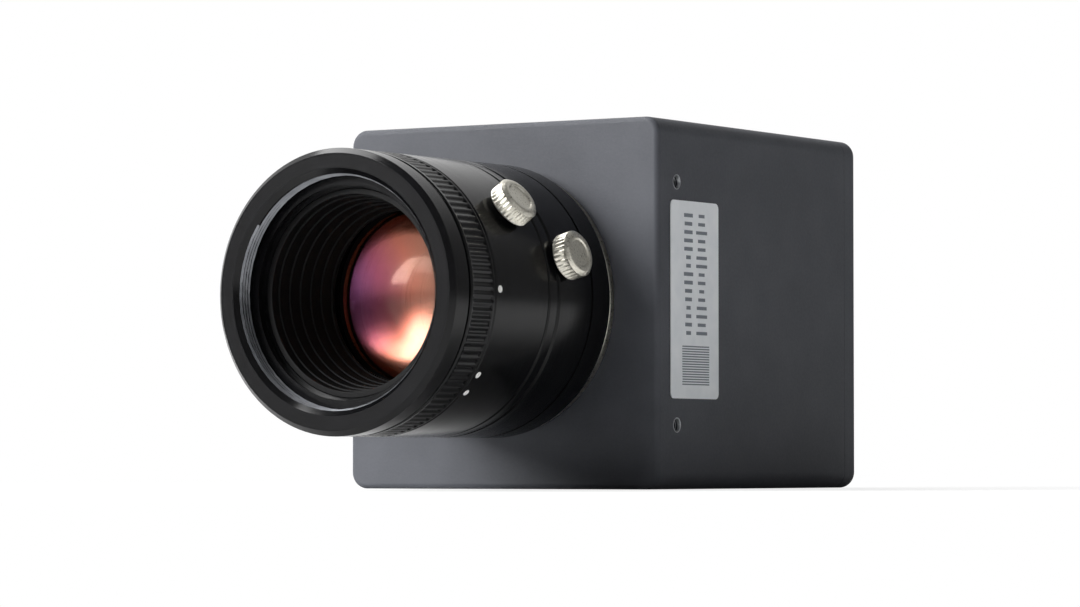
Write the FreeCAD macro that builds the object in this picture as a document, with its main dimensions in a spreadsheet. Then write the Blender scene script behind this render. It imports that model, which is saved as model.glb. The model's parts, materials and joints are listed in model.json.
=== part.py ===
"""Machine vision camera: a cube housing with a C-mount, its boards, and a fixed focal lens.

Most pieces are drawn in the optical frame: its origin is where the lens axis leaves the
housing's front face, X points to the side with the label, Y up and Z out of the lens.
optical_frame places it in the part's frame, whose origin is the mouth of the tripod thread,
with +Z up and the lens pointing along -Y.
"""
import FreeCAD, Part
import math
import os
import re
import Sketcher
from FreeCAD import Placement, Rotation, Vector

SIZES = {
    # Housing
    "body_width": 44,
    "body_height": 44,
    "housing_depth": 46,
    "corner_radius": 2,
    "front_edge": 0.7,
    "side_wall": 2.5,
    "floor_wall": 5.5,
    "front_wall": 6,
    "cavity_corner": 9,
    "axis_rise": 0.5,
    "tripod_setback": 22,
    "tripod_radius": 2.55,
    "tripod_depth": 5,
    # Fixing holes: in the base tapped for 3 mm screws, in the sides for 2 mm ones
    "tapped_radius": 1.25,
    "side_hole": 0.8,
    "tapped_depth": 4.5,
    "fixing_setback": 4.3,
    "side_spacing": 28.8,
    "base_spacing": 28.8,
    "base_length": 32,
    # Fits
    "seat_gap": 0.03,
    "running_gap": 0.05,
    "end_gap": 0.1,
    "board_gap": 0.5,
    # Lens mount ring and the optics behind it
    "ring_thread": 15,
    "ring_flange": 16,
    "flange_stand": 1,
    "mount_thread": 12.7,
    "mount_depth": 4.5,
    "mount_stop": 11,
    "filter_radius": 10,
    "filter_thickness": 1,
    "light_tunnel": 8.5,
    # Sensor and boards
    "flange_distance": 17.526,
    "sensor_side": 14,
    "sensor_thickness": 2,
    "cover_thickness": 0.5,
    "die_depth": 0.3,
    "board_thickness": 1.2,
    "holder_plate": 4,
    "holder_boss": 20,
    "post_radius": 2.5,
    "front_stack": 7.8,
    "rear_stack": 5.8,
    "strip_length": 18,
    "strip_width": 4.5,
    "front_strip_y": 13,
    "rear_strip_y": 12,
    "post_x": 16,
    "post_y": 8.5,
    "holder_screw_x": 11,
    "holder_screw_y": 13.4,
    "small_screw": 1,
    "small_head": 1.9,
    "small_head_height": 1.6,
    # Rear cover and sockets
    "cover_plate": 3,
    "cover_lip": 1,
    "cover_screw_inset": 4.7,
    "cover_screw": 1.5,
    "cover_screw_length": 8,
    "cover_head": 2.75,
    "cover_head_height": 1.6,
    "cover_head_socket": 1.1,
    "jack_width": 16,
    "jack_height": 14.6,
    "jack_stand": 0.6,
    "jack_low": 1.3,
    "jack_mouth_width": 11.9,
    "jack_mouth_height": 8.2,
    "jack_mouth_depth": 12,
    "jack_latch_width": 6.2,
    "jack_latch_height": 2,
    "jack_lock_x": 11.2,
    "jack_lock_radius": 0.8,
    "plug_height": 8.8,
    "plug_thread": 6,
    "plug_flange": 7,
    "plug_flange_thickness": 1.5,
    "plug_barrel": 5.9,
    "plug_length": 5,
    "plug_bore": 4.9,
    "plug_recess": 5.6,
    "plug_nut_thickness": 2,
    "pin_radius": 0.35,
    "light_radius": 1.2,
    "light_x": 14,
    "light_y": 7,
    # Label
    "label_width": 11.25,
    "label_height": 23.5,
    "label_thickness": 0.15,
    "label_setback": 2.7,
    # Lens barrel
    "lens_radius": 16.4,
    "lens_length": 34,
    "thread_length": 4,
    "rear_bore": 11.2,
    "flange_neck": 15.5,
    "neck_length": 0.7,
    "base_ring": 3.7,
    "tube_outer": 14.2,
    "tube_inner": 13,
    "tube_front": 4,
    "rear_wall": 1,
    # Rings
    "ring_gap": 0.05,
    "iris_ring_length": 7.5,
    "index_ring_length": 2,
    "rim_length": 3.5,
    "retainer_length": 1.2,
    "retainer_radius": 14.9,
    "grip_count": 90,
    "grip_depth": 0.25,
    "grip_width": 0.55,
    "grip_length": 4,
    # Lock screws
    "lock_thread": 1,
    "lock_head": 2.75,
    "lock_head_height": 2.3,
    "lock_rise": 0.35,
    "lock_notches": 28,
    "lock_notch_depth": 0.2,
    "lock_notch_width": 0.35,
    "focus_lock_angle": 35,
    "focus_lock_z": 19.65,
    "iris_lock_angle": 14.3,
    "iris_lock_z": 11.4,
    # Focus drive
    "focus_turn": 120,
    "focus_travel": 2,
    "drive_pin": 0.7,
    "drive_z": 20,
    "drive_angle": 5,
    "helix_floor": 15.3,
    # Optical barrel and its glass
    "cell_outer": 12.95,
    "cell_rear": 2.1,
    "filter_thread": 13.5,
    "filter_depth": 2.5,
    "rim_mouth": 14.1,
    "rim_bevel": 0.7,
    "step_radius": 12.3,
    "step_depth": 1.3,
    "retaining_thread": 12,
    "retaining_seat": 28,
    "cell_bore": 11.4,
    "glass_seat": 20.5,
    "glass_visible": 10,
    "glass_edge": 2.9,
    "front_curve": 30,
    "front_hollow": 45,
    "front_hollow_rise": 1.4,
    "spacer_length": 2.2,
    "second_edge": 2,
    "second_curve": 26,
    "lip_radius": 9.8,
    "lip_length": 1.2,
    "baffle_steps": 6,
    "baffle_lip": 0.7,
    "baffle_tread": 0.7,
    # Iris
    "iris_bore": 10.9,
    "iris_turn": 54,
    "blade_count": 6,
    "blade_turn": 27,
    "blade_inner": 6.1,
    "blade_outer": 8.2,
    "blade_thickness": 0.12,
    "blade_pitch": 0.2,
    "blade_start": -5,
    "blade_end": 118,
    "lug_end": 21,
    "lug_outer": 10.2,
    "pivot_radius": 9.2,
    "slider_radius": 9.7,
    "slider_angle": 16,
    "blade_pin": 0.28,
    "pin_clearance": 0.05,
    "iris_base": 0.8,
    "cam_thickness": 1,
    "cam_inner": 7.6,
    "cam_skirt": 1.5,
    "skirt_wall": 0.84,
    "iris_pin": 0.6,
    "iris_pin_reach": 14.8,
    "iris_pin_angle": 200,
    "iris_groove": 15,
    # Rear glass
    "rear_bore_glass": 8.6,
    "rear_glass_seat": 5.6,
    "rear_glass_edge": 2.2,
    "rear_curve": 22,
    "rear_stop": 7.2,
}

doc = FreeCAD.newDocument("machine_vision_camera")
sheet = doc.addObject("Spreadsheet::Sheet", "sizes")
for row, (alias, value) in enumerate(SIZES.items(), start=1):
    sheet.set(f"A{row}", alias)
    sheet.set(f"B{row}", str(value))
    sheet.setAlias(f"B{row}", alias)
doc.recompute()

# Places that several pieces share, as expressions of the sizes
TOP = "(body_height / 2 - axis_rise)"
BOTTOM = "(-body_height / 2 - axis_rise)"
HALF_WIDTH = "(body_width / 2)"
CAVITY_TOP = f"({TOP} - side_wall)"
CAVITY_BOTTOM = f"({BOTTOM} + floor_wall)"
CAVITY_HALF = f"({HALF_WIDTH} - side_wall)"
COVER_SCREW_X = f"({HALF_WIDTH} - cover_screw_inset)"
COVER_SCREW_Y = "(body_height / 2 - cover_screw_inset)"
HOLDER_FRONT = "(-front_wall)"
SENSOR_PLANE = "(flange_stand - flange_distance)"
SENSOR_FRONT = f"({SENSOR_PLANE} + die_depth)"
SENSOR_BACK = f"({SENSOR_FRONT} - sensor_thickness)"
MIDDLE_BOARD = f"({SENSOR_BACK} - board_thickness - front_stack)"
REAR_BOARD = f"({MIDDLE_BOARD} - board_thickness - rear_stack)"
REAR_BOARD_BACK = f"({REAR_BOARD} - board_thickness)"
COVER_INSIDE = "(-housing_depth)"
COVER_OUTSIDE = "(-housing_depth - cover_plate)"
POST_MIDDLE = f"(({CAVITY_TOP} + {CAVITY_BOTTOM}) / 2)"
LENS_FRONT = "(flange_stand + lens_length)"
BASE_START = "(flange_stand + neck_length)"
BASE_END = f"({BASE_START} + base_ring)"
IRIS_RING_END = f"({BASE_END} + ring_gap + iris_ring_length)"
INDEX_START = f"({IRIS_RING_END} + ring_gap)"
INDEX_END = f"({INDEX_START} + index_ring_length)"
RIM_BACK = f"({LENS_FRONT} - rim_length)"
FOCUS_START = f"({INDEX_END} + ring_gap)"
FOCUS_END = f"({RIM_BACK} - end_gap)"
TUBE_END = f"({LENS_FRONT} - tube_front)"
SECOND_SEAT = "(glass_seat - glass_edge - spacer_length - second_edge)"
IRIS_FRONT = f"({SECOND_SEAT} - lip_length)"
BLADES_FRONT = f"({IRIS_FRONT} - iris_base)"
BLADES_BACK = f"({BLADES_FRONT} - blade_pitch * (blade_count + 0.5))"
CAM_BACK = f"({BLADES_BACK} - cam_thickness)"
SKIRT_BACK = f"({CAM_BACK} - cam_skirt)"
IRIS_PIN_Z = f"({SKIRT_BACK} + cam_skirt / 2)"
REAR_CELL_FRONT = f"({SKIRT_BACK} - end_gap)"


def sized(expression):
    """The expression with each alias pointing at its cell of the sheet."""
    return re.sub(r"\b[a-z]+(?:_[a-z]+)+\b", r"<<sizes>>.\g<0>", expression)


def number(expression):
    """The value of an expression of the sizes, now."""
    return float(sheet.evalExpression(sized(expression)))


optical_frame = Placement(
    Vector(0, -number("tripod_setback"), -number(BOTTOM)), Rotation(Vector(1, 0, 0), 90)
)


# Drawing helpers -----------------------------------------------------------------------------

def new_body(label, place=optical_frame):
    body = doc.addObject("PartDesign::Body", label)
    body.Label = label
    body.AllowCompound = True
    body.Placement = place
    return body


def sketch_on(body, plane="XY_Plane", lift="0", turn="0"):
    """A sketch on an origin plane, lifted along its normal and turned about its upright axis."""
    support = [item for item in body.Origin.OriginFeatures if item.Role == plane][0]
    sketch = body.newObject("Sketcher::SketchObject", f"{body.Label}_sketch")
    sketch.AttachmentSupport = [(support, "")]
    sketch.MapMode = "FlatFace"
    sketch.AttachmentOffset = Placement(
        Vector(0, 0, number(lift)), Rotation(Vector(0, 1, 0), number(turn))
    )
    sketch.setExpression("AttachmentOffset.Base.z", sized(lift))
    return sketch


def fix(sketch, kind, *places, value):
    """Adds a dimension to a sketch and binds it to an expression of the sizes."""
    index = sketch.addConstraint(Sketcher.Constraint(kind, *places, number(value)))
    sketch.setExpression(f"Constraints[{index}]", sized(value))


def polygon(sketch, corners):
    """A closed outline through corners, each a pair of expressions."""
    points = [Vector(number(x), number(y), 0) for x, y in corners]
    first = sketch.GeometryCount
    count = len(points)
    for index in range(count):
        edge = Part.LineSegment(points[index], points[(index + 1) % count])
        sketch.addGeometry(edge, False)
    for index in range(count):
        after = (index + 1) % count
        sketch.addConstraint(Sketcher.Constraint("Coincident", first + index, 2, first + after, 1))
    for index, (x, y) in enumerate(corners):
        fix(sketch, "DistanceX", first + index, 1, value=x)
        fix(sketch, "DistanceY", first + index, 1, value=y)


def rectangle(sketch, left, bottom, right, top):
    polygon(sketch, [(left, bottom), (right, bottom), (right, top), (left, top)])


def centred_rectangle(sketch, width, height, x="0", y="0"):
    half_width = f"{width} / 2"
    half_height = f"{height} / 2"
    rectangle(
        sketch,
        f"{x} - {half_width}",
        f"{y} - {half_height}",
        f"{x} + {half_width}",
        f"{y} + {half_height}",
    )


def circle(sketch, radius, x="0", y="0"):
    centre = Vector(number(x), number(y), 0)
    index = sketch.addGeometry(Part.Circle(centre, Vector(0, 0, 1), number(radius)), False)
    fix(sketch, "Radius", index, value=radius)
    fix(sketch, "DistanceX", index, 3, value=x)
    fix(sketch, "DistanceY", index, 3, value=y)


def hexagon(sketch, across, x="0", y="0"):
    """A hexagon whose flats are `across` from its middle."""
    corner = f"{across} / cos(30)"
    turns = [f"{60 * step}" for step in range(6)]
    polygon(
        sketch,
        [(f"{x} + {corner} * cos({t})", f"{y} + {corner} * sin({t})") for t in turns],
    )


def pad(body, sketch, length, forward=True):
    feature = body.newObject("PartDesign::Pad", f"{body.Label}_pad")
    feature.Profile = sketch
    feature.Length = number(length)
    feature.setExpression("Length", sized(length))
    feature.Reversed = not forward
    return finish(body, feature)


def pocket(body, sketch, length=None, forward=False):
    """Cuts against the sketch's normal, or along it when forward; without a length, right through."""
    feature = body.newObject("PartDesign::Pocket", f"{body.Label}_pocket")
    feature.Profile = sketch
    if length is None:
        feature.Type = 1
    else:
        feature.Length = number(length)
        feature.setExpression("Length", sized(length))
    feature.Reversed = forward
    return finish(body, feature, cuts=True)


def turned(body, outline, span=None, middle="0", cuts=False):
    """Turns an outline of (radius, z) pairs about Z, all round or over a span about its middle."""
    sketch = sketch_on(body, "XZ_Plane", turn=middle)
    polygon(sketch, outline)
    kind = "Groove" if cuts else "Revolution"
    feature = body.newObject(f"PartDesign::{kind}", f"{body.Label}_{kind.lower()}")
    feature.Profile = sketch
    feature.ReferenceAxis = (sketch, ["V_Axis"])
    feature.Angle = 360
    if span is not None:
        feature.Midplane = True
        feature.Angle = number(span)
        feature.setExpression("Angle", sized(span))
    return finish(body, feature, cuts=cuts)


def radial_hole(body, radius, height, angle):
    """A round hole from the axis outwards, at a height along Z and an angle from X."""
    sketch = sketch_on(body, "YZ_Plane", turn=angle)
    circle(sketch, radius, "0", height)
    return pocket(body, sketch, forward=True)


def around(body, feature, count):
    """Repeats a feature in a full circle about Z."""
    pattern = body.newObject("PartDesign::PolarPattern", f"{body.Label}_pattern")
    pattern.Originals = [feature]
    pattern.Axis = (feature.Profile[0], ["N_Axis"])
    pattern.Angle = 360
    pattern.Occurrences = int(number(count))
    pattern.setExpression("Occurrences", sized(count))
    body.Tip = pattern
    return finish(body, pattern, cuts=True)


def finish(body, feature, cuts=False):
    """Recomputes, and stops when a feature failed or a cut took nothing away."""
    doc.recompute()
    if "Invalid" in feature.State or "Error" in feature.State:
        raise RuntimeError(f"{feature.Label} in {body.Label} failed: {feature.State}")
    if cuts and feature.Shape.Volume > feature.BaseFeature.Shape.Volume - 1e-6:
        raise RuntimeError(f"{feature.Label} in {body.Label} cuts nothing")
    return feature


def dressed(body, kind, base, size, wanted):
    """A Fillet or a Chamfer on the base's edges that the test wanted picks."""
    edges = base.Shape.Edges
    names = [f"Edge{index}" for index, edge in enumerate(edges, start=1) if wanted(edge)]
    feature = body.newObject(f"PartDesign::{kind}", f"{body.Label}_{kind.lower()}")
    feature.Base = (base, names)
    value = "Radius" if kind == "Fillet" else "Size"
    setattr(feature, value, number(size))
    feature.setExpression(value, sized(size))
    base.Visibility = False
    return finish(body, feature)


def runs_along_axis(edge):
    """True for a straight edge parallel to Z."""
    start, end = edge.Vertexes[0].Point, edge.Vertexes[-1].Point
    return start.distanceToPoint(end) > 1e-6 and abs(abs(start.z - end.z) - edge.Length) < 1e-6


def lies_at(height):
    """A test for edges that lie in the plane Z = height."""
    level = number(height)
    return lambda edge: all(abs(vertex.Point.z - level) < 1e-6 for vertex in edge.Vertexes) and (
        abs(edge.CenterOfMass.z - level) < 1e-6
    )


def four(x, y, middle="0"):
    """The four places at plus and minus x, and y above and below the middle."""
    return [(f"{sx}{x}", f"{middle} {sy} {y}") for sx in ("", "-") for sy in ("+", "-")]


def cavity_outline(sketch, clearance="0"):
    """The housing's hollow: a rectangle with cut corners, drawn smaller by a clearance."""
    right = f"({CAVITY_HALF} - {clearance})"
    top = f"({CAVITY_TOP} - {clearance})"
    bottom = f"({CAVITY_BOTTOM} + {clearance})"
    corner = "cavity_corner"
    polygon(
        sketch,
        [
            (f"{right} - {corner}", bottom),
            (right, f"{bottom} + {corner}"),
            (right, f"{top} - {corner}"),
            (f"{right} - {corner}", top),
            (f"-{right} + {corner}", top),
            (f"-{right}", f"{top} - {corner}"),
            (f"-{right}", f"{bottom} + {corner}"),
            (f"-{right} + {corner}", bottom),
        ],
    )


# Housing and rear cover ----------------------------------------------------------------------

def make_housing():
    body = new_body("housing")
    outline = sketch_on(body)
    rectangle(outline, f"-{HALF_WIDTH}", BOTTOM, HALF_WIDTH, TOP)
    block = pad(body, outline, "housing_depth", forward=False)
    block = dressed(body, "Fillet", block, "corner_radius", runs_along_axis)
    dressed(body, "Fillet", block, "front_edge", lies_at("0"))
    hollow = sketch_on(body, lift=HOLDER_FRONT)
    cavity_outline(hollow)
    pocket(body, hollow, "housing_depth - front_wall")
    seat = sketch_on(body)
    circle(seat, "ring_thread + seat_gap")
    pocket(body, seat, "front_wall")
    screws = sketch_on(body, lift=COVER_INSIDE)
    for x, y in four(COVER_SCREW_X, COVER_SCREW_Y, "-axis_rise"):
        circle(screws, "tapped_radius", x, y)
    pocket(body, screws, "cover_screw_length", forward=True)
    posts = sketch_on(body, lift=HOLDER_FRONT)
    for x, y in four("holder_screw_x", "holder_screw_y"):
        circle(posts, "small_screw - 0.2", x, y)
    pocket(body, posts, "front_wall - 2", forward=True)
    for side in ("", "-"):
        holes = sketch_on(body, "YZ_Plane", lift=f"{side}{HALF_WIDTH}")
        for sign in ("", "-"):
            height = f"{sign}side_spacing / 2 - axis_rise"
            circle(holes, "side_hole", height, "-fixing_setback")
        pocket(body, holes, "tapped_depth", forward=side == "-")
    base = sketch_on(body, "XZ_Plane", lift=f"-{BOTTOM}")
    for sign in ("", "-"):
        for height in ("-fixing_setback", "-fixing_setback - base_length"):
            circle(base, "tapped_radius", f"{sign}base_spacing / 2", height)
    pocket(body, base, "tapped_depth")
    tripod = sketch_on(body, "XZ_Plane", lift=f"-{BOTTOM}")
    circle(tripod, "tripod_radius", "0", "-tripod_setback")
    pocket(body, tripod, "tripod_depth")


def make_rear_cover():
    body = new_body("rear_cover")
    outline = sketch_on(body, lift=COVER_INSIDE)
    rectangle(outline, f"-{HALF_WIDTH}", BOTTOM, HALF_WIDTH, TOP)
    plate = pad(body, outline, "cover_plate", forward=False)
    plate = dressed(body, "Fillet", plate, "corner_radius", runs_along_axis)
    dressed(body, "Fillet", plate, "front_edge", lies_at(COVER_OUTSIDE))
    lip = sketch_on(body, lift=COVER_INSIDE)
    cavity_outline(lip, "end_gap")
    pad(body, lip, "cover_lip")
    window = sketch_on(body, lift=f"{COVER_INSIDE} + cover_lip")
    centred_rectangle(
        window,
        "(jack_width + 2 * end_gap)",
        "(jack_height + 2 * end_gap)",
        "0",
        "(-jack_low - jack_height / 2)",
    )
    circle(window, "plug_thread + running_gap", "0", "plug_height")
    for sign in ("", "-"):
        circle(window, "light_radius + running_gap", f"{sign}light_x", "light_y")
        circle(window, "jack_lock_radius", f"{sign}jack_lock_x", "-jack_low - jack_height / 2")
    pocket(body, window)
    shanks = sketch_on(body, lift=COVER_INSIDE)
    heads = sketch_on(body, lift=COVER_OUTSIDE)
    for x, y in four(COVER_SCREW_X, COVER_SCREW_Y, "-axis_rise"):
        circle(shanks, "cover_screw + end_gap", x, y)
        circle(heads, "cover_head + end_gap", x, y)
    pocket(body, shanks)
    pocket(body, heads, "cover_head_height", forward=True)


def make_cover_screws():
    body = new_body("cover_screws")
    seat = f"({COVER_OUTSIDE} + cover_head_height)"
    heads = sketch_on(body, lift=COVER_OUTSIDE)
    shanks = sketch_on(body, lift=seat)
    sockets = sketch_on(body, lift=COVER_OUTSIDE)
    for x, y in four(COVER_SCREW_X, COVER_SCREW_Y, "-axis_rise"):
        circle(heads, "cover_head", x, y)
        circle(shanks, "tapped_radius - seat_gap", x, y)
        hexagon(sockets, "cover_head_socket", x, y)
    pad(body, heads, "cover_head_height")
    pad(body, shanks, "cover_plate - cover_head_height + cover_screw_length - 1")
    pocket(body, sockets, "cover_head_height - 0.6", forward=True)


# Lens mount, sensor and boards ---------------------------------------------------------------

def make_mount_ring():
    body = new_body("mount_ring")
    turned(
        body,
        [
            ("mount_stop", HOLDER_FRONT),
            ("ring_thread", HOLDER_FRONT),
            ("ring_thread", "0"),
            ("ring_flange", "0"),
            ("ring_flange", "flange_stand"),
            ("mount_thread + seat_gap", "flange_stand"),
            ("mount_thread + seat_gap", "flange_stand - mount_depth"),
            ("mount_stop", "flange_stand - mount_depth"),
        ],
    )


def make_sensor_holder():
    """Carries the sensor at the flange distance: a plate, a square boss and four posts."""
    body = new_body("sensor_holder")
    plate = sketch_on(body, lift=HOLDER_FRONT)
    cavity_outline(plate, "board_gap")
    pad(body, plate, "holder_plate", forward=False)
    rear = sketch_on(body, lift=f"{HOLDER_FRONT} - holder_plate")
    centred_rectangle(rear, "holder_boss", "holder_boss")
    for x, y in four("post_x", "post_y", POST_MIDDLE):
        circle(rear, "post_radius", x, y)
    pad(body, rear, f"{HOLDER_FRONT} - holder_plate - {SENSOR_BACK}", forward=False)
    tunnel = sketch_on(body, lift=HOLDER_FRONT)
    circle(tunnel, "light_tunnel")
    pocket(body, tunnel)
    filter_seat = sketch_on(body, lift=HOLDER_FRONT)
    circle(filter_seat, "filter_radius + running_gap")
    pocket(body, filter_seat, "filter_thickness")
    sensor_seat = sketch_on(body, lift=SENSOR_BACK)
    centred_rectangle(sensor_seat, "(sensor_side + 2 * end_gap)", "(sensor_side + 2 * end_gap)")
    pocket(body, sensor_seat, "sensor_thickness + cover_thickness + end_gap", forward=True)
    fixings = sketch_on(body, lift=HOLDER_FRONT)
    for x, y in four("holder_screw_x", "holder_screw_y"):
        circle(fixings, "small_screw + running_gap", x, y)
    pocket(body, fixings, "holder_plate")


def make_holder_screws():
    body = new_body("holder_screws")
    back = f"({HOLDER_FRONT} - holder_plate)"
    heads = sketch_on(body, lift=back)
    shanks = sketch_on(body, lift=back)
    for x, y in four("holder_screw_x", "holder_screw_y"):
        circle(heads, "small_head", x, y)
        circle(shanks, "small_screw - 0.2 - seat_gap", x, y)
    pad(body, heads, "small_head_height", forward=False)
    pad(body, shanks, "holder_plate + front_wall - 2.5")


def make_plate(label, front, width, height, thickness, x="0", y="0"):
    """A flat rectangular piece whose front face is at a given height along the lens axis."""
    body = new_body(label)
    outline = sketch_on(body, lift=front)
    centred_rectangle(outline, width, height, x, y)
    pad(body, outline, thickness, forward=False)


def make_disc(label, front, radius, thickness):
    body = new_body(label)
    outline = sketch_on(body, lift=front)
    circle(outline, radius)
    pad(body, outline, thickness, forward=False)


def make_board(label, front):
    body = new_body(label)
    outline = sketch_on(body, lift=front)
    cavity_outline(outline, "board_gap")
    for x, y in four("post_x", "post_y", POST_MIDDLE):
        circle(outline, "small_screw + running_gap", x, y)
    pad(body, outline, "board_thickness", forward=False)


def make_standoffs(label, front, length):
    """Four threaded pillars between two boards, each with a stud through the board ahead of it."""
    body = new_body(label)
    pillars = sketch_on(body, lift=front)
    studs = sketch_on(body, lift=front)
    for x, y in four("post_x", "post_y", POST_MIDDLE):
        circle(pillars, "post_radius - 0.3", x, y)
        circle(studs, "small_screw", x, y)
    pad(body, pillars, length, forward=False)
    pad(body, studs, "board_thickness")


def make_board_screws():
    """Four screws that hold the rear board to the pillars."""
    body = new_body("board_screws")
    heads = sketch_on(body, lift=REAR_BOARD_BACK)
    shanks = sketch_on(body, lift=REAR_BOARD_BACK)
    for x, y in four("post_x", "post_y", POST_MIDDLE):
        circle(heads, "small_head", x, y)
        circle(shanks, "small_screw", x, y)
    pad(body, heads, "small_head_height", forward=False)
    pad(body, shanks, "board_thickness")


def make_board_connectors():
    """The plug and socket strips that join the three boards."""
    body = new_body("board_connectors")
    front = sketch_on(body, lift=f"{SENSOR_BACK} - board_thickness")
    rear = sketch_on(body, lift=f"{MIDDLE_BOARD} - board_thickness")
    centred_rectangle(front, "strip_length", "strip_width", "0", "front_strip_y")
    centred_rectangle(rear, "strip_length", "strip_width", "0", "-rear_strip_y")
    pad(body, front, "front_stack", forward=False)
    pad(body, rear, "rear_stack", forward=False)


# Sockets on the rear cover -------------------------------------------------------------------

def make_network_jack():
    """A shielded modular jack that stands on the rear board, with its mouth at the cover."""
    body = new_body("network_jack")
    middle = "(-jack_low - jack_height / 2)"
    mouth = f"({COVER_OUTSIDE} - jack_stand)"
    shell = sketch_on(body, lift=REAR_BOARD_BACK)
    centred_rectangle(shell, "jack_width", "jack_height", "0", middle)
    pad(body, shell, f"{REAR_BOARD_BACK} - {mouth}", forward=False)
    opening = sketch_on(body, lift=mouth)
    half = "jack_mouth_width / 2"
    floor = f"{middle} - jack_mouth_height / 2"
    roof = f"{middle} + jack_mouth_height / 2"
    notch = "jack_latch_width / 2"
    polygon(
        opening,
        [
            (f"-{half}", floor),
            (half, floor),
            (half, roof),
            (notch, roof),
            (notch, f"{roof} + jack_latch_height"),
            (f"-{notch}", f"{roof} + jack_latch_height"),
            (f"-{notch}", roof),
            (f"-{half}", roof),
        ],
    )
    pocket(body, opening, "jack_mouth_depth", forward=True)


def make_jack_contacts():
    """Eight spring contacts that lean over the floor of the jack's mouth."""
    body = new_body("jack_contacts")
    floor = "-jack_low - jack_height / 2 - jack_mouth_height / 2"
    front = f"{COVER_OUTSIDE} - jack_stand + 2.5"
    back = f"{COVER_OUTSIDE} - jack_stand + jack_mouth_depth"
    for index in range(8):
        x = f"({index - 3.5} * 1.02)"
        side = sketch_on(body, "YZ_Plane", lift=f"{x} + 0.2")
        polygon(
            side,
            [
                (f"{floor} + 0.05", front),
                (f"{floor} + 0.05", f"{front} + 0.4"),
                (f"{floor} + 2.2", f"{back} - 0.05"),
                (f"{floor} + 2.8", f"{back} - 0.05"),
            ],
        )
        pad(body, side, "0.4", forward=False)


def make_io_socket():
    """A round screw-in receptacle for power and signals, its nut inside the cover."""
    body = new_body("io_socket", optical_frame.multiply(Placement(
        Vector(0, number("plug_height"), 0), Rotation()
    )))
    flange = f"({COVER_OUTSIDE} - plug_flange_thickness)"
    end = f"({COVER_OUTSIDE} - plug_length)"
    inside = f"({COVER_INSIDE} + cover_lip + plug_nut_thickness)"
    turned(
        body,
        [
            ("plug_bore", end),
            ("plug_barrel", end),
            ("plug_barrel", flange),
            ("plug_flange", flange),
            ("plug_flange", COVER_OUTSIDE),
            ("plug_thread", COVER_OUTSIDE),
            ("plug_thread", inside),
            ("plug_bore", inside),
        ],
    )
    key = sketch_on(body, "XY_Plane", lift=end)
    rectangle(key, "-0.6", "plug_bore - 0.6", "0.6", "plug_bore + 0.3")
    pad(body, key, "plug_recess")


def make_io_socket_insert():
    """The moulded insulator, from its face in the socket down to the rear board."""
    body = new_body("io_socket_insert")
    face = f"({COVER_OUTSIDE} - plug_length + plug_recess)"
    outline = sketch_on(body, lift=face)
    circle(outline, "plug_bore - seat_gap", "0", "plug_height")
    pad(body, outline, f"{REAR_BOARD_BACK} - {face}")


def make_io_socket_pins():
    """Twelve pins in two rings."""
    body = new_body("io_socket_pins")
    face = f"({COVER_OUTSIDE} - plug_length + plug_recess)"
    outline = sketch_on(body, lift=face)
    for count, radius in ((9, 3.3), (3, 1.2)):
        for index in range(count):
            turn = 360 * index / count + 90
            circle(
                outline,
                "pin_radius",
                f"{radius} * cos({turn})",
                f"plug_height + {radius} * sin({turn})",
            )
    pad(body, outline, "plug_recess - 1.5", forward=False)


def make_io_socket_nut():
    body = new_body("io_socket_nut")
    outline = sketch_on(body, lift=f"{COVER_INSIDE} + cover_lip")
    hexagon(outline, "plug_flange", "0", "plug_height")
    circle(outline, "plug_thread + running_gap", "0", "plug_height")
    pad(body, outline, "plug_nut_thickness")


def make_status_lights():
    """Two clear light pipes from the rear board to the cover's outside."""
    body = new_body("status_lights")
    outline = sketch_on(body, lift=REAR_BOARD_BACK)
    for sign in ("", "-"):
        circle(outline, "light_radius", f"{sign}light_x", "light_y")
    pad(body, outline, f"{REAR_BOARD_BACK} - {COVER_OUTSIDE}", forward=False)


def make_type_label():
    """A blank printed plate on the side wall, level with the lens."""
    body = new_body("type_label")
    outline = sketch_on(body, "YZ_Plane", lift=HALF_WIDTH)
    rectangle(
        outline,
        "-label_height / 2",
        "-label_setback - label_width",
        "label_height / 2",
        "-label_setback",
    )
    plate = pad(body, outline, "label_thickness")
    across = number("label_thickness")
    dressed(body, "Fillet", plate, "front_edge", lambda edge: abs(edge.Length - across) < 1e-6)


# Lens: fixed barrel and rings ----------------------------------------------------------------

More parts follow.
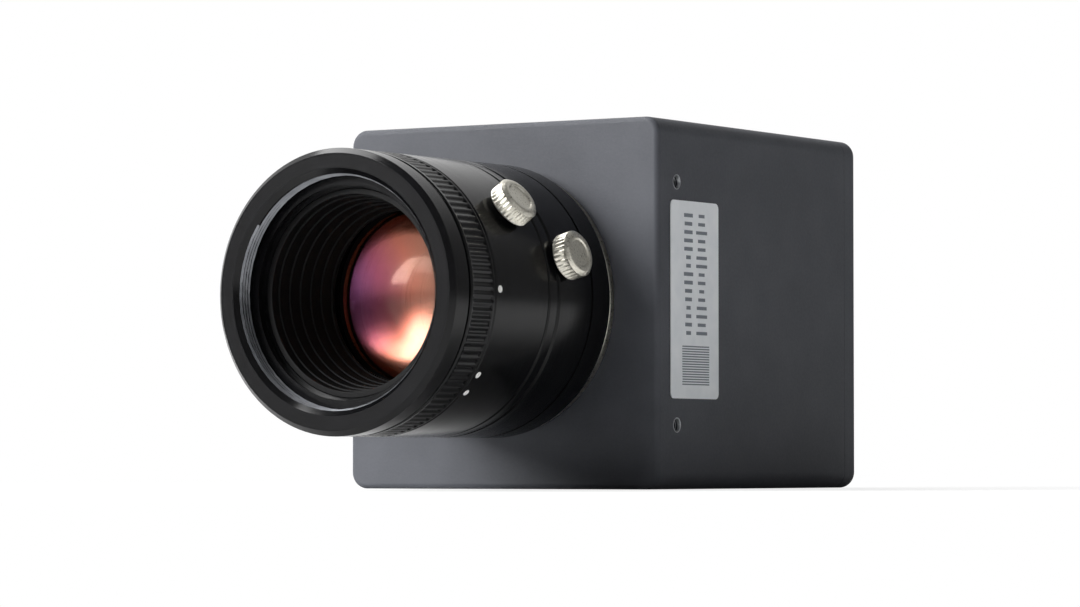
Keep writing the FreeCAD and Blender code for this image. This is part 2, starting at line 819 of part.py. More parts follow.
def make_lens_barrel():
    """Thread, flange and the slotted tube that guides the optical barrel."""
    body = new_body("lens_barrel")
    turned(
        body,
        [
            ("rear_bore", "flange_stand - thread_length"),
            ("mount_thread", "flange_stand - thread_length"),
            ("mount_thread", "flange_stand"),
            ("flange_neck", "flange_stand"),
            ("flange_neck", BASE_START),
            ("lens_radius", BASE_START),
            ("lens_radius", BASE_END),
            ("tube_outer", BASE_END),
            ("tube_outer", TUBE_END),
            ("tube_inner", TUBE_END),
            ("tube_inner", "flange_stand + rear_wall"),
            ("rear_bore", "flange_stand + rear_wall"),
        ],
    )
    iris_slot = "(iris_pin + running_gap)"
    turned(
        body,
        [
            ("tube_inner - 0.5", f"{IRIS_PIN_Z} - {iris_slot}"),
            ("tube_outer + 0.5", f"{IRIS_PIN_Z} - {iris_slot}"),
            ("tube_outer + 0.5", f"{IRIS_PIN_Z} + {iris_slot} + focus_travel"),
            ("tube_inner - 0.5", f"{IRIS_PIN_Z} + {iris_slot} + focus_travel"),
        ],
        span="iris_turn + 2 * asin((iris_pin + 2 * running_gap) / tube_inner) / 1 deg",
        middle="iris_pin_angle + iris_turn / 2",
        cuts=True,
    )
    for turn in ("drive_angle", "drive_angle + 180"):
        guide = sketch_on(body, "YZ_Plane", turn=turn)
        rectangle(
            guide,
            "-drive_pin - running_gap",
            "drive_z - drive_pin - running_gap",
            "drive_pin + running_gap",
            "drive_z + focus_travel + drive_pin + running_gap",
        )
        pocket(body, guide, forward=True)


def ring_outline(start, end, bevel="0.35"):
    """A ring that runs on the tube, its outer edges bevelled."""
    return [
        ("tube_outer + running_gap", start),
        (f"lens_radius - {bevel}", start),
        ("lens_radius", f"{start} + {bevel}"),
        ("lens_radius", f"{end} - {bevel}"),
        (f"lens_radius - {bevel}", end),
        ("tube_outer + running_gap", end),
    ]


def notch_outline(sketch, radius, depth, width):
    """A V that opens outwards through a round rim."""
    polygon(
        sketch,
        [
            (f"{radius} - {depth}", "0"),
            (f"{radius} + {depth}", f"-{width}"),
            (f"{radius} + {depth}", width),
        ],
    )


def cut_grip(body, start, length):
    """Grip flutes all round a ring."""
    flute = sketch_on(body, lift=start)
    notch_outline(flute, "lens_radius", "grip_depth", "grip_width")
    first = pocket(body, flute, length, forward=True)
    around(body, first, "grip_count")


def make_iris_ring():
    body = new_body("iris_ring")
    start = f"({BASE_END} + ring_gap)"
    turned(body, ring_outline(start, IRIS_RING_END))
    turned(
        body,
        [
            ("tube_outer - 0.5", f"{IRIS_PIN_Z} - iris_pin - end_gap"),
            ("iris_groove", f"{IRIS_PIN_Z} - iris_pin - end_gap"),
            ("iris_groove", f"{IRIS_PIN_Z} + iris_pin + focus_travel + end_gap"),
            ("tube_outer - 0.5", f"{IRIS_PIN_Z} + iris_pin + focus_travel + end_gap"),
        ],
        span="2 * asin((iris_pin + running_gap) / tube_outer) / 1 deg",
        middle="iris_pin_angle",
        cuts=True,
    )
    radial_hole(body, "lock_thread + running_gap", "iris_lock_z", "iris_lock_angle")


def make_index_ring():
    """The fixed ring between the turning ones, which the scales are read against."""
    body = new_body("index_ring")
    outline = ring_outline(INDEX_START, INDEX_END, "0.2")
    outline[0] = ("tube_outer + seat_gap", INDEX_START)
    outline[-1] = ("tube_outer + seat_gap", INDEX_END)
    turned(body, outline)


def make_focus_ring():
    body = new_body("focus_ring")
    turned(body, ring_outline(FOCUS_START, FOCUS_END))
    turned(
        body,
        [
            ("tube_outer - 0.5", f"{TUBE_END} - retainer_length - end_gap"),
            ("retainer_radius + running_gap", f"{TUBE_END} - retainer_length - end_gap"),
            ("retainer_radius + running_gap", f"{FOCUS_END} + 0.5"),
            ("tube_outer - 0.5", f"{FOCUS_END} + 0.5"),
        ],
        cuts=True,
    )
    radial_hole(body, "lock_thread + running_gap", "focus_lock_z", "focus_lock_angle")
    for turn in ("drive_angle", "drive_angle + 180"):
        cut_drive_groove(body, turn)
    cut_grip(body, f"{FOCUS_END} - grip_length - 0.5", "grip_length")


def cut_drive_groove(body, start):
    """A helical groove that moves its pin forward as the ring turns from rest to its limit."""
    spare = 4
    rise = number("focus_travel") / number("focus_turn")
    profile = sketch_on(body, "XZ_Plane", turn=f"{start} + {spare}")
    half = "(drive_pin / cos(atan(focus_travel / (focus_turn * pi / 180 * tube_outer))) + running_gap)"
    middle = f"(drive_z - focus_travel / focus_turn * {spare})"
    rectangle(
        profile,
        "tube_outer - 0.5",
        f"{middle} - {half}",
        "helix_floor",
        f"{middle} + {half}",
    )
    helix = body.newObject("PartDesign::SubtractiveHelix", "focus_ring_helix")
    helix.Profile = profile
    helix.ReferenceAxis = (profile, ["V_Axis"])
    helix.Mode = 0
    helix.Pitch = rise * 360
    helix.setExpression("Pitch", sized("focus_travel / focus_turn * 360"))
    helix.Height = rise * (number("focus_turn") + 2 * spare)
    helix.setExpression("Height", sized(f"focus_travel / focus_turn * (focus_turn + {2 * spare})"))
    helix.LeftHanded = True
    helix.Reversed = False
    finish(body, helix, cuts=True)


def make_focus_ring_retainer():
    """The threaded ring that keeps the focus ring on the tube."""
    body = new_body("focus_ring_retainer")
    outline = [
        ("tube_outer + seat_gap", f"{TUBE_END} - retainer_length"),
        ("retainer_radius", f"{TUBE_END} - retainer_length"),
        ("retainer_radius", TUBE_END),
        ("tube_outer + seat_gap", TUBE_END),
    ]
    turned(body, outline)


def make_lock_screw(label, angle, height):
    """A thumbscrew through a ring, its tip just clear of the tube. Its own Z is the screw's axis."""
    axis = Placement(Vector(0, 0, number(height)), Rotation(Vector(0, 0, 1), number(angle)))
    outwards = Placement(Vector(0, 0, 0), Rotation(Vector(0, 1, 0), 90))
    body = new_body(label, optical_frame.multiply(axis).multiply(outwards))
    head = "(lens_radius + lock_rise)"
    top = f"({head} + lock_head_height)"
    turned(
        body,
        [
            ("0", "tube_outer + running_gap"),
            ("lock_thread", "tube_outer + running_gap"),
            ("lock_thread", f"{head} - 0.2"),
            ("lock_thread + 0.4", head),
            ("lock_head - 0.3", head),
            ("lock_head", f"{head} + 0.3"),
            ("lock_head", f"{top} - 0.4"),
            ("lock_head - 0.4", top),
            ("0", top),
        ],
    )
    notch = sketch_on(body, lift=head)
    notch_outline(notch, "lock_head", "lock_notch_depth", "lock_notch_width")
    first = pocket(body, notch, "lock_head_height", forward=True)
    around(body, first, "lock_notches")


# Lens: optical barrel and glass --------------------------------------------------------------

def make_optical_barrel():
    """Carries all the glass and the iris, and ends in the front rim with its filter thread."""
    body = new_body("optical_barrel")
    turned(
        body,
        [
            ("iris_bore", "cell_rear"),
            ("cell_outer", "cell_rear"),
            ("cell_outer", RIM_BACK),
            ("lens_radius - 0.4", RIM_BACK),
            ("lens_radius", f"{RIM_BACK} + 0.4"),
            ("lens_radius", f"{LENS_FRONT} - 0.6"),
            ("lens_radius - 0.6", LENS_FRONT),
            ("rim_mouth", LENS_FRONT),
            ("filter_thread", f"{LENS_FRONT} - rim_bevel"),
            ("filter_thread", f"{LENS_FRONT} - filter_depth"),
            ("step_radius", f"{LENS_FRONT} - filter_depth"),
            ("step_radius", f"{LENS_FRONT} - filter_depth - step_depth"),
            ("retaining_thread + seat_gap", f"{LENS_FRONT} - filter_depth - step_depth"),
            ("retaining_thread + seat_gap", "retaining_seat"),
            ("cell_bore", "retaining_seat"),
            ("cell_bore", SECOND_SEAT),
            ("lip_radius", SECOND_SEAT),
            ("lip_radius", IRIS_FRONT),
            ("iris_bore", IRIS_FRONT),
        ],
    )
    slot = "(iris_pin + running_gap)"
    turned(
        body,
        [
            ("iris_bore - 0.5", f"{IRIS_PIN_Z} - {slot}"),
            ("cell_outer + 0.5", f"{IRIS_PIN_Z} - {slot}"),
            ("cell_outer + 0.5", f"{IRIS_PIN_Z} + {slot}"),
            ("iris_bore - 0.5", f"{IRIS_PIN_Z} + {slot}"),
        ],
        span="iris_turn + 2 * asin((iris_pin + 2 * running_gap) / iris_bore) / 1 deg",
        middle="iris_pin_angle + iris_turn / 2",
        cuts=True,
    )
    for turn in ("drive_angle", "drive_angle + 180"):
        radial_hole(body, "drive_pin + seat_gap", "drive_z", turn)


def make_focus_drive_pins():
    """Two pins that join the optical barrel to the grooves inside the focus ring."""
    body = new_body("focus_drive_pins")
    for turn in ("drive_angle", "drive_angle + 180"):
        sketch = sketch_on(body, "YZ_Plane", turn=turn)
        sketch.AttachmentOffset = sketch.AttachmentOffset.multiply(
            Placement(Vector(0, 0, number("cell_bore + end_gap")), Rotation())
        )
        sketch.setExpression("AttachmentOffset.Base.z", None)
        circle(sketch, "drive_pin", "0", "drive_z")
        pad(body, sketch, "helix_floor - 2 * end_gap - cell_bore")


def make_front_retaining_ring():
    """A deep ring with a stepped bore that stops glare and holds the front glass."""
    body = new_body("front_retaining_ring")
    front = f"({LENS_FRONT} - filter_depth - step_depth)"
    steps = int(number("baffle_steps"))
    outline = [
        ("glass_visible", "glass_seat"),
        ("cell_bore - running_gap", "glass_seat"),
        ("cell_bore - running_gap", "retaining_seat"),
        ("retaining_thread", "retaining_seat"),
        ("retaining_thread", front),
    ]
    depth = f"({front} - glass_seat) / {steps}"
    widening = f"(retaining_thread - baffle_lip - glass_visible) / {steps}"
    for step in range(steps, 0, -1):
        outline.append((f"glass_visible + {widening} * {step}", f"glass_seat + {depth} * {step}"))
        outline.append((f"glass_visible + {widening} * {step}", f"glass_seat + {depth} * ({step} - baffle_tread)"))
        outline.append((f"glass_visible + {widening} * {step - 1}", f"glass_seat + {depth} * ({step} - baffle_tread)"))
        if step > 1:
            outline.append(
                (f"glass_visible + {widening} * {step - 1}", f"glass_seat + {depth} * {step - 1} + 0.05")
            )
    turned(body, outline)


def ball(name, radius, centre):
    shape = doc.addObject("Part::Sphere", name)
    shape.Radius = number(radius)
    shape.setExpression("Radius", sized(radius))
    shape.Placement = Placement(Vector(0, 0, number(centre)), Rotation())
    shape.setExpression("Placement.Base.z", sized(centre))
    return shape


def blank(name, radius, start, length):
    """A round glass blank on the lens axis."""
    shape = doc.addObject("Part::Cylinder", name)
    shape.Radius = number(radius)
    shape.setExpression("Radius", sized(radius))
    shape.Height = number(length)
    shape.setExpression("Height", sized(length))
    shape.Placement = Placement(Vector(0, 0, number(start)), Rotation())
    shape.setExpression("Placement.Base.z", sized(start))
    return shape


def joined(kind, label, base, tool):
    shape = doc.addObject(f"Part::{kind}", label)
    shape.Label = label
    shape.Base = base
    shape.Tool = tool
    doc.recompute()
    return shape


def sag(curve, radius):
    """How far a sphere's cap stands above its rim."""
    return f"({curve} - sqrt({curve} ^ 2 - ({radius}) ^ 2))"


def make_front_element():
    """A meniscus: convex to the front, hollow behind."""
    edge = "(cell_bore - running_gap)"
    rim = "(glass_visible + 0.3)"
    front = f"(glass_seat - 0.2 + {sag('front_curve', rim)})"
    glass = blank("front_blank", edge, "glass_seat - glass_edge", "glass_edge + 3")
    seat = blank("front_seat_blank", edge, "glass_seat - glass_edge", "glass_edge")
    dome = ball("front_dome", "front_curve", f"{front} - front_curve")
    hollow = ball("front_hollow_ball", "front_hollow", "glass_seat - glass_edge - front_hollow + front_hollow_rise")
    domed = joined("Common", "front_domed", glass, dome)
    trimmed = joined("Common", "front_trimmed", domed, blank(
        "front_keep", rim, "glass_seat - glass_edge", "glass_edge + 3"
    ))
    seated = joined("Common", "front_seated", seat, dome)
    whole = joined("Fuse", "front_whole", seated, trimmed)
    return joined("Cut", "front_element", whole, hollow)


def make_second_element():
    """A biconvex glass that stays inside its edge."""
    edge = "(cell_bore - running_gap)"
    glass = blank("second_blank", edge, SECOND_SEAT, "second_edge")
    face = f"({SECOND_SEAT} + second_edge)"
    dome = ball("second_dome", "second_curve", f"{face} - second_curve + 0")
    flat = blank("second_rim", edge, SECOND_SEAT, f"second_edge - {sag('second_curve', 'cell_bore')} * 0.5")
    domed = joined("Common", "second_domed", glass, dome)
    return joined("Fuse", "second_element", flat, domed)


def make_rear_element():
    edge = "(rear_bore_glass + 0.6 - running_gap)"
    glass = blank("rear_blank", edge, "rear_glass_seat - rear_glass_edge", "rear_glass_edge")
    dome = ball("rear_dome", "rear_curve", "rear_glass_seat - rear_curve + 0.4")
    return joined("Common", "rear_element", glass, dome)


def make_element_spacer():
    body = new_body("element_spacer")
    start = f"({SECOND_SEAT} + second_edge)"
    turned(
        body,
        [
            ("lip_radius", start),
            ("cell_bore - running_gap", start),
            ("cell_bore - running_gap", f"{start} + spacer_length"),
            ("glass_visible", f"{start} + spacer_length"),
        ],
    )


def make_rear_barrel():
    """Screws into the optical barrel behind the iris and carries the rear glass."""
    body = new_body("rear_barrel")
    turned(
        body,
        [
            ("rear_bore_glass + 0.6", "cell_rear"),
            ("iris_bore - seat_gap", "cell_rear"),
            ("iris_bore - seat_gap", REAR_CELL_FRONT),
            ("rear_bore_glass - 0.6", REAR_CELL_FRONT),
            ("rear_bore_glass - 0.6", "rear_glass_seat"),
            ("rear_bore_glass + 0.6", "rear_glass_seat"),
        ],
    )


def make_rear_retaining_ring():
    body = new_body("rear_retaining_ring")
    turned(
        body,
        [
            ("rear_stop", "cell_rear"),
            ("rear_bore_glass + 0.6 - seat_gap", "cell_rear"),
            ("rear_bore_glass + 0.6 - seat_gap", "rear_glass_seat - rear_glass_edge"),
            ("rear_stop", "rear_glass_seat - rear_glass_edge"),
        ],
    )


# Iris ----------------------------------------------------------------------------------------

def make_iris_base_ring():
    """The fixed plate that the blades' pivots turn in."""
    body = new_body("iris_base_ring")
    outline = sketch_on(body, lift=BLADES_FRONT)
    circle(outline, "iris_bore - seat_gap")
    circle(outline, "blade_inner + 0.1")
    for index in range(int(number("blade_count"))):
        turn = f"{index} * 360 / blade_count"
        circle(
            outline,
            "blade_pin + pin_clearance",
            f"pivot_radius * cos({turn})",
            f"pivot_radius * sin({turn})",
        )
    pad(body, outline, "iris_base")


def make_iris_blade(index):
    """One curved blade: its pivot pin points forward, its slider pin backward into the cam."""
    turn = 360 / number("blade_count") * index
    place = Placement(Vector(0, 0, 0), Rotation(Vector(0, 0, 1), turn))
    body = new_body(f"iris_blade_{index + 1}", optical_frame.multiply(place))
    back = f"({BLADES_FRONT} - blade_pitch * {index + 1})"
    front = f"({back} + blade_thickness)"
    for inner, outer, first, last in (
        ("blade_inner", "blade_outer", "blade_start", "blade_end"),
        ("blade_outer - 0.3", "lug_outer", "blade_start", "lug_end"),
    ):
        turned(
            body,
            [(inner, back), (outer, back), (outer, front), (inner, front)],
            span=f"{last} - {first}",
            middle=f"({first} + {last}) / 2",
        )
    pivot = sketch_on(body, lift=back)
    circle(pivot, "blade_pin", "pivot_radius", "0")
    pad(body, pivot, f"{BLADES_FRONT} + iris_base - {back}")
    slider = sketch_on(body, lift=front)
    circle(
        slider, "blade_pin", "slider_radius * cos(slider_angle)", "slider_radius * sin(slider_angle)"
    )
    pad(body, slider, f"{front} - {CAM_BACK} - 0.1", forward=False)


def slider_in_cam(share):
    """Where a blade's slider is in the cam ring's frame, at a share of the iris's turn."""
    pivot = Vector(number("pivot_radius"), 0, 0)
    angle = math.radians(number("slider_angle"))
    slider = Vector(math.cos(angle), math.sin(angle), 0) * number("slider_radius")
    blade = Rotation(Vector(0, 0, 1), number("blade_turn") * share)
    cam = Rotation(Vector(0, 0, 1), -number("iris_turn") * share)
    return cam.multVec(pivot + blade.multVec(slider - pivot))


def cam_slot(height, depth):
    """The curved slot that one blade's slider runs in, as a solid to cut away."""
    start, middle, end = slider_in_cam(0), slider_in_cam(0.5), slider_in_cam(1)
    path = Part.Arc(start, middle, end).toShape().Curve
    centre = path.Center
    half = number("blade_pin + 2 * pin_clearance")
    sides = []
    for radius in (path.Radius - half, path.Radius + half):
        reach = [centre + (point - centre).normalize() * radius for point in (start, middle, end)]
        sides.append(Part.Arc(*reach).toShape())
    ends = []
    for point, far in ((start, -1), (end, 1)):
        away = (point - centre).normalize()
        along = Vector(0, 0, 1).cross(away) * far * turning(start, end, centre)
        ends.append(Part.Arc(point - away * half, point + along * half, point + away * half).toShape())
    outline = Part.Wire(Part.__sortEdges__(sides + ends))
    slot = Part.Face(outline).extrude(Vector(0, 0, depth))
    slot.translate(Vector(0, 0, height))
    return slot


def turning(start, end, centre):
    """1 when the way from start to end about the centre is anticlockwise, else -1."""
    return 1 if (start - centre).cross(end - centre).z > 0 else -1


def make_iris_cam_ring():
    """The turning ring with a spiral slot for each blade and a skirt for its drive pin."""
    outer = number("iris_bore - running_gap")
    inner = number("cam_inner")
    back = number(CAM_BACK)
    thickness = number("cam_thickness")
    skirt = number("cam_skirt")
    disc = Part.makeCylinder(outer, thickness, Vector(0, 0, back))
    disc = disc.cut(Part.makeCylinder(inner, thickness, Vector(0, 0, back)))
    for index in range(int(number("blade_count"))):
        slot = cam_slot(back - 1, thickness + 2)
        slot.rotate(Vector(0, 0, 0), Vector(0, 0, 1), 360 / number("blade_count") * index)
        disc = disc.cut(slot)
    wall = Part.makeCylinder(outer, skirt, Vector(0, 0, back - skirt))
    bore = Part.makeCylinder(outer - number("skirt_wall"), skirt, Vector(0, 0, back - skirt))
    shape = disc.fuse(wall.cut(bore)).removeSplitter()
    pin_hole = Part.makeCylinder(
        number("iris_pin + seat_gap"), outer + 1, Vector(0, 0, number(IRIS_PIN_Z)), iris_pin_direction()
    )
    ring = doc.addObject("Part::Feature", "iris_cam_ring")
    ring.Label = "iris_cam_ring"
    ring.Shape = shape.cut(pin_hole)
    ring.Placement = optical_frame


def iris_pin_direction():
    angle = math.radians(number("iris_pin_angle"))
    return Vector(math.cos(angle), math.sin(angle), 0)


def make_iris_drive_pin():
    """Joins the cam ring to the iris ring through both barrels. Its own Z is the pin's axis."""
    axis = Placement(
        Vector(0, 0, number(IRIS_PIN_Z)), Rotation(Vector(0, 0, 1), number("iris_pin_angle"))
    )
    outwards = Placement(Vector(0, 0, 0), Rotation(Vector(0, 1, 0), 90))
    body = new_body("iris_drive_pin", optical_frame.multiply(axis).multiply(outwards))
    start = "(iris_bore - running_gap - skirt_wall)"
    outline = sketch_on(body, lift=start)
    circle(outline, "iris_pin")
    pad(body, outline, f"iris_pin_reach - {start}")


# The whole camera ----------------------------------------------------------------------------

def make_camera():
    make_housing()
    make_mount_ring()
    make_disc("filter_glass", HOLDER_FRONT, "filter_radius", "filter_thickness")
    make_sensor_holder()
    make_holder_screws()
    make_plate("image_sensor", SENSOR_FRONT, "sensor_side", "sensor_side", "sensor_thickness")
    make_plate(
        "sensor_cover_glass",
        f"{SENSOR_FRONT} + cover_thickness",
        "(sensor_side - 1)",
        "(sensor_side - 1)",
        "cover_thickness",
    )
    make_board("sensor_board", SENSOR_BACK)
    make_board("processing_board", MIDDLE_BOARD)
    make_board("interface_board", REAR_BOARD)
    make_standoffs("front_standoffs", f"({SENSOR_BACK} - board_thickness)", "front_stack")
    make_standoffs("rear_standoffs", f"({MIDDLE_BOARD} - board_thickness)", "rear_stack")
    make_board_screws()
    make_board_connectors()
    make_plate("processor", f"({MIDDLE_BOARD} + 2)", "15", "15", "2")
    make_rear_cover()
    make_cover_screws()
    make_network_jack()
    make_jack_contacts()
    make_io_socket()
    make_io_socket_insert()
    make_io_socket_pins()
    make_io_socket_nut()
    make_status_lights()
    make_type_label()


def make_lens():
    make_lens_barrel()
    make_iris_ring()
    make_lock_screw("iris_lock_screw", "iris_lock_angle", "iris_lock_z")
    make_index_ring()
    make_focus_ring()
    make_focus_ring_retainer()
    make_lock_screw("focus_lock_screw", "focus_lock_angle", "focus_lock_z")
    make_optical_barrel()
    make_focus_drive_pins()
    make_front_retaining_ring()
    make_element_spacer()
    make_rear_barrel()
    make_rear_retaining_ring()
    for glass in (make_front_element(), make_second_element(), make_rear_element()):
        glass.Placement = optical_frame
    make_iris_base_ring()
    for index in range(int(number("blade_count"))):
        make_iris_blade(index)
    make_iris_cam_ring()
    make_iris_drive_pin()


PART_LABELS = (
    "front_element",
    "second_element",
    "rear_element",
    "iris_cam_ring",
)


def write_parts():
    """Checks every object of the document, then writes each sub-part's STEP file."""
    doc.recompute()
    for item in doc.Objects:
        if "Invalid" in item.State or "Error" in item.State:
            raise RuntimeError(f"{item.Label} failed: {item.State}")
    parts = [
        item
        for item in doc.Objects
        if item.TypeId == "PartDesign::Body" or item.Label in PART_LABELS
    ]
    for item in parts:
        if item.Shape.isNull() or not item.Shape.isValid() or not item.Shape.Solids:
            raise RuntimeError(f"{item.Label} has no valid shape")
    os.makedirs("parts", exist_ok=True)
    for item in parts:
        item.Shape.exportStep(f"parts/{item.Label}.step")
    print(f"{len(parts)} parts written")


make_camera()
make_lens()
write_parts()
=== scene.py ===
import json
import math

import bmesh
import bpy
from bpy.props import FloatProperty, FloatVectorProperty, IntProperty, PointerProperty, StringProperty
from mathutils import Matrix, Vector


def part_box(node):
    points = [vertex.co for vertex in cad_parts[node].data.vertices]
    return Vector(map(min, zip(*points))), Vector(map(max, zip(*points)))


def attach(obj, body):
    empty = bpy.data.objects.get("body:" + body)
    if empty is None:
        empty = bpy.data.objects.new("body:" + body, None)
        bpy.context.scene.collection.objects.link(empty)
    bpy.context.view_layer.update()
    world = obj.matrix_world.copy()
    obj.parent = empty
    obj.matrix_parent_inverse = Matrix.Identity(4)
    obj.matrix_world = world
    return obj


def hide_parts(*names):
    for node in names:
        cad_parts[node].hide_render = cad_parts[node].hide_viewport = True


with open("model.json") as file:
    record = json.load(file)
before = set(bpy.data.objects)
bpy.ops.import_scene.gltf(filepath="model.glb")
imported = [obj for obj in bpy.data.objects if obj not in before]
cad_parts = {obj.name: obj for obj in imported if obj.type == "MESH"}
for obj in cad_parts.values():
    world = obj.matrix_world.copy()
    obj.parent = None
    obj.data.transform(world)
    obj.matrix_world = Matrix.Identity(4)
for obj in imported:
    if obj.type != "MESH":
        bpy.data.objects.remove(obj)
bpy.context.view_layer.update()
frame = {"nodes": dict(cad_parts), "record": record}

bl_info = {
    "name": "Machine Vision Camera",
    "version": (1, 0, 0),
    "blender": (4, 5, 0),
    "location": "View3D > Sidebar > Vision Camera",
    "description": "Finishes a cube camera and its lens over the packed frame",
    "category": "Add Mesh",
}

MM = 0.001
# Edges that bend more than this are sharp
SHARP_DEGREES = 35


# Places read from the frame -------------------------------------------------------------------

def low(node):
    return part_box(node)[0]


def high(node):
    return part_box(node)[1]


def middle(node):
    return (low(node) + high(node)) / 2


AXIS_HEIGHT = middle("index_ring").z
FACE = low("housing").y
BOTTOM = low("housing").z

# Lens drawings are in millimetres: Z runs out of the lens from the housing's face, Y is up
OPTICAL = Matrix((
    (MM, 0, 0, 0),
    (0, 0, -MM, FACE),
    (0, MM, 0, AXIS_HEIGHT),
    (0, 0, 0, 1),
))


def out(y):
    """How far a place is in front of the housing's face, in mm."""
    return (FACE - y) / MM


LENS_RADIUS = (high("index_ring").x - low("index_ring").x) / 2 / MM
FOCUS_START, FOCUS_END = out(high("focus_ring").y), out(low("focus_ring").y)
IRIS_END = out(low("iris_ring").y)
INDEX_START, INDEX_END = out(high("index_ring").y), out(low("index_ring").y)
RIM_FRONT = out(low("optical_barrel").y)
GLASS_FRONT, GLASS_BACK = out(low("front_element").y), out(high("front_element").y)
SECOND_BACK = out(high("second_element").y)


# Colours and nodes ----------------------------------------------------------------------------

def linear(text):
    """An sRGB hex colour as linear RGBA."""
    parts = [int(text[i:i + 2], 16) / 255 for i in (1, 3, 5)]
    return [p / 12.92 if p <= 0.04045 else ((p + 0.055) / 1.055) ** 2.4 for p in parts] + [1.0]


def node(tree, kind, inputs=None, **settings):
    """Adds a node, with its settings, and each input set to a value or linked to a socket."""
    made = tree.nodes.new(kind)
    for name, value in settings.items():
        setattr(made, name, value)
    for key, value in (inputs or {}).items():
        if isinstance(value, bpy.types.NodeSocket):
            tree.links.new(value, made.inputs[key])
        else:
            made.inputs[key].default_value = value
    return made


def maths(tree, operation, first, second=0.0):
    return node(tree, "ShaderNodeMath", {0: first, 1: second}, operation=operation).outputs[0]


def new_material(name):
    material = bpy.data.materials.new(name)
    material.use_nodes = True
    material.node_tree.nodes.clear()
    return material, material.node_tree


def grained(tree, grain_mm, detail=2.0):
    """Noise whose grain has a real size, read in object coordinates."""
    place = node(tree, "ShaderNodeTexCoord").outputs["Object"]
    return node(tree, "ShaderNodeTexNoise", {
        "Vector": place, "Scale": 1 / (grain_mm * MM), "Detail": detail, "Roughness": 0.55,
    }).outputs["Fac"]


def lathe_marks(tree, spacing_mm):
    """Noise that changes only with the radius and along the lens axis, as a lathe tool leaves."""
    place = node(tree, "ShaderNodeTexCoord").outputs["Object"]
    parts = node(tree, "ShaderNodeSeparateXYZ", {0: place})
    rise = maths(tree, "SUBTRACT", parts.outputs["Z"], AXIS_HEIGHT)
    flat = node(tree, "ShaderNodeCombineXYZ", {"X": parts.outputs["X"], "Y": rise})
    reach = node(tree, "ShaderNodeVectorMath", {0: flat.outputs[0]}, operation="LENGTH")
    lines = node(tree, "ShaderNodeCombineXYZ", {"X": reach.outputs["Value"], "Y": parts.outputs["Y"]})
    return node(tree, "ShaderNodeTexNoise", {
        "Vector": lines.outputs[0], "Scale": 1 / (spacing_mm * MM), "Detail": 2.0,
    }, noise_dimensions="2D").outputs["Fac"]


def mixed(tree, factor, first, second):
    """A colour between two hex colours."""
    mix = node(tree, "ShaderNodeMix", {6: linear(first), 7: linear(second)}, data_type="RGBA")
    tree.links.new(factor, mix.inputs[0])
    return mix.outputs[2]


def ranged(tree, value, low_out, high_out, low_in=0.35, high_in=0.65):
    return node(tree, "ShaderNodeMapRange", {
        "Value": value, "From Min": low_in, "From Max": high_in, "To Min": low_out, "To Max": high_out,
    }).outputs["Result"]


def bumped(tree, height, strength, depth_mm):
    return node(tree, "ShaderNodeBump", {
        "Height": height, "Strength": strength, "Distance": depth_mm * MM,
    }).outputs["Normal"]


def surfaced(tree, inputs):
    shader = node(tree, "ShaderNodeBsdfPrincipled", inputs)
    node(tree, "ShaderNodeOutputMaterial", {"Surface": shader.outputs["BSDF"]})


# Materials ------------------------------------------------------------------------------------

def painted_aluminium():
    """Satin enamel sprayed on milled aluminium: an even dark grey with a faint orange peel."""
    settings = bpy.context.scene.vision_finish
    material, tree = new_material("satin_enamel_on_aluminium")
    peel = grained(tree, 0.35)
    patches = ranged(tree, grained(tree, 8.0), 0.0, 1.0)
    surfaced(tree, {
        "Base Color": mixed(tree, patches, settings.paint_dark, settings.paint_light),
        "Roughness": ranged(tree, peel, 0.6, 0.68),
        "Specular IOR Level": 0.4,
        "Normal": bumped(tree, peel, 0.3, 0.03),
    })
    return material


def black_anodised():
    """Black anodised aluminium, turned: nearly black and silky, with fine rings from the tool."""
    material, tree = new_material("black_anodised_aluminium")
    marks = lathe_marks(tree, 0.12)
    surfaced(tree, {
        "Base Color": mixed(tree, ranged(tree, grained(tree, 3.0), 0.0, 1.0), "#070708", "#0C0C0E"),
        "Roughness": ranged(tree, marks, 0.16, 0.24),
        "Specular IOR Level": 0.22,
        "Normal": bumped(tree, marks, 0.15, 0.006),
    })
    return material


def matt_black():
    """Matt black anodising inside the barrel, which swallows stray light."""
    material, tree = new_material("matt_black_anodising")
    grain = grained(tree, 0.15)
    surfaced(tree, {
        "Base Color": linear("#050506"),
        "Roughness": ranged(tree, grain, 0.55, 0.68),
        "Specular IOR Level": 0.15,
        "Normal": bumped(tree, grain, 0.2, 0.01),
    })
    return material


def painted_glint_anodised():
    """Black anodising given a lighter metallic grey on the crests of a filter thread: a painted glint, standing in
    for the reflections that make the thread look bright.
    """
    material, tree = new_material("bright_cut_anodised_aluminium")
    marks = lathe_marks(tree, 0.12)
    surfaced(tree, {
        "Base Color": mixed(tree, ranged(tree, grained(tree, 3.0), 0.0, 1.0), "#64666A", "#76787C"),
        "Metallic": 0.8,
        "Roughness": ranged(tree, marks, 0.26, 0.34),
    })
    return material


def nickel_plate():
    """Nickel plated brass: warm silver with soft reflections and slight handling marks."""
    material, tree = new_material("nickel_plated_brass")
    grain = grained(tree, 0.25, 3.0)
    surfaced(tree, {
        "Base Color": mixed(tree, ranged(tree, grain, 0.0, 1.0), "#C2BEB1", "#D9D6CB"),
        "Metallic": 1.0,
        "Roughness": ranged(tree, grain, 0.27, 0.38),
        "Normal": bumped(tree, grain, 0.12, 0.008),
    })
    return material


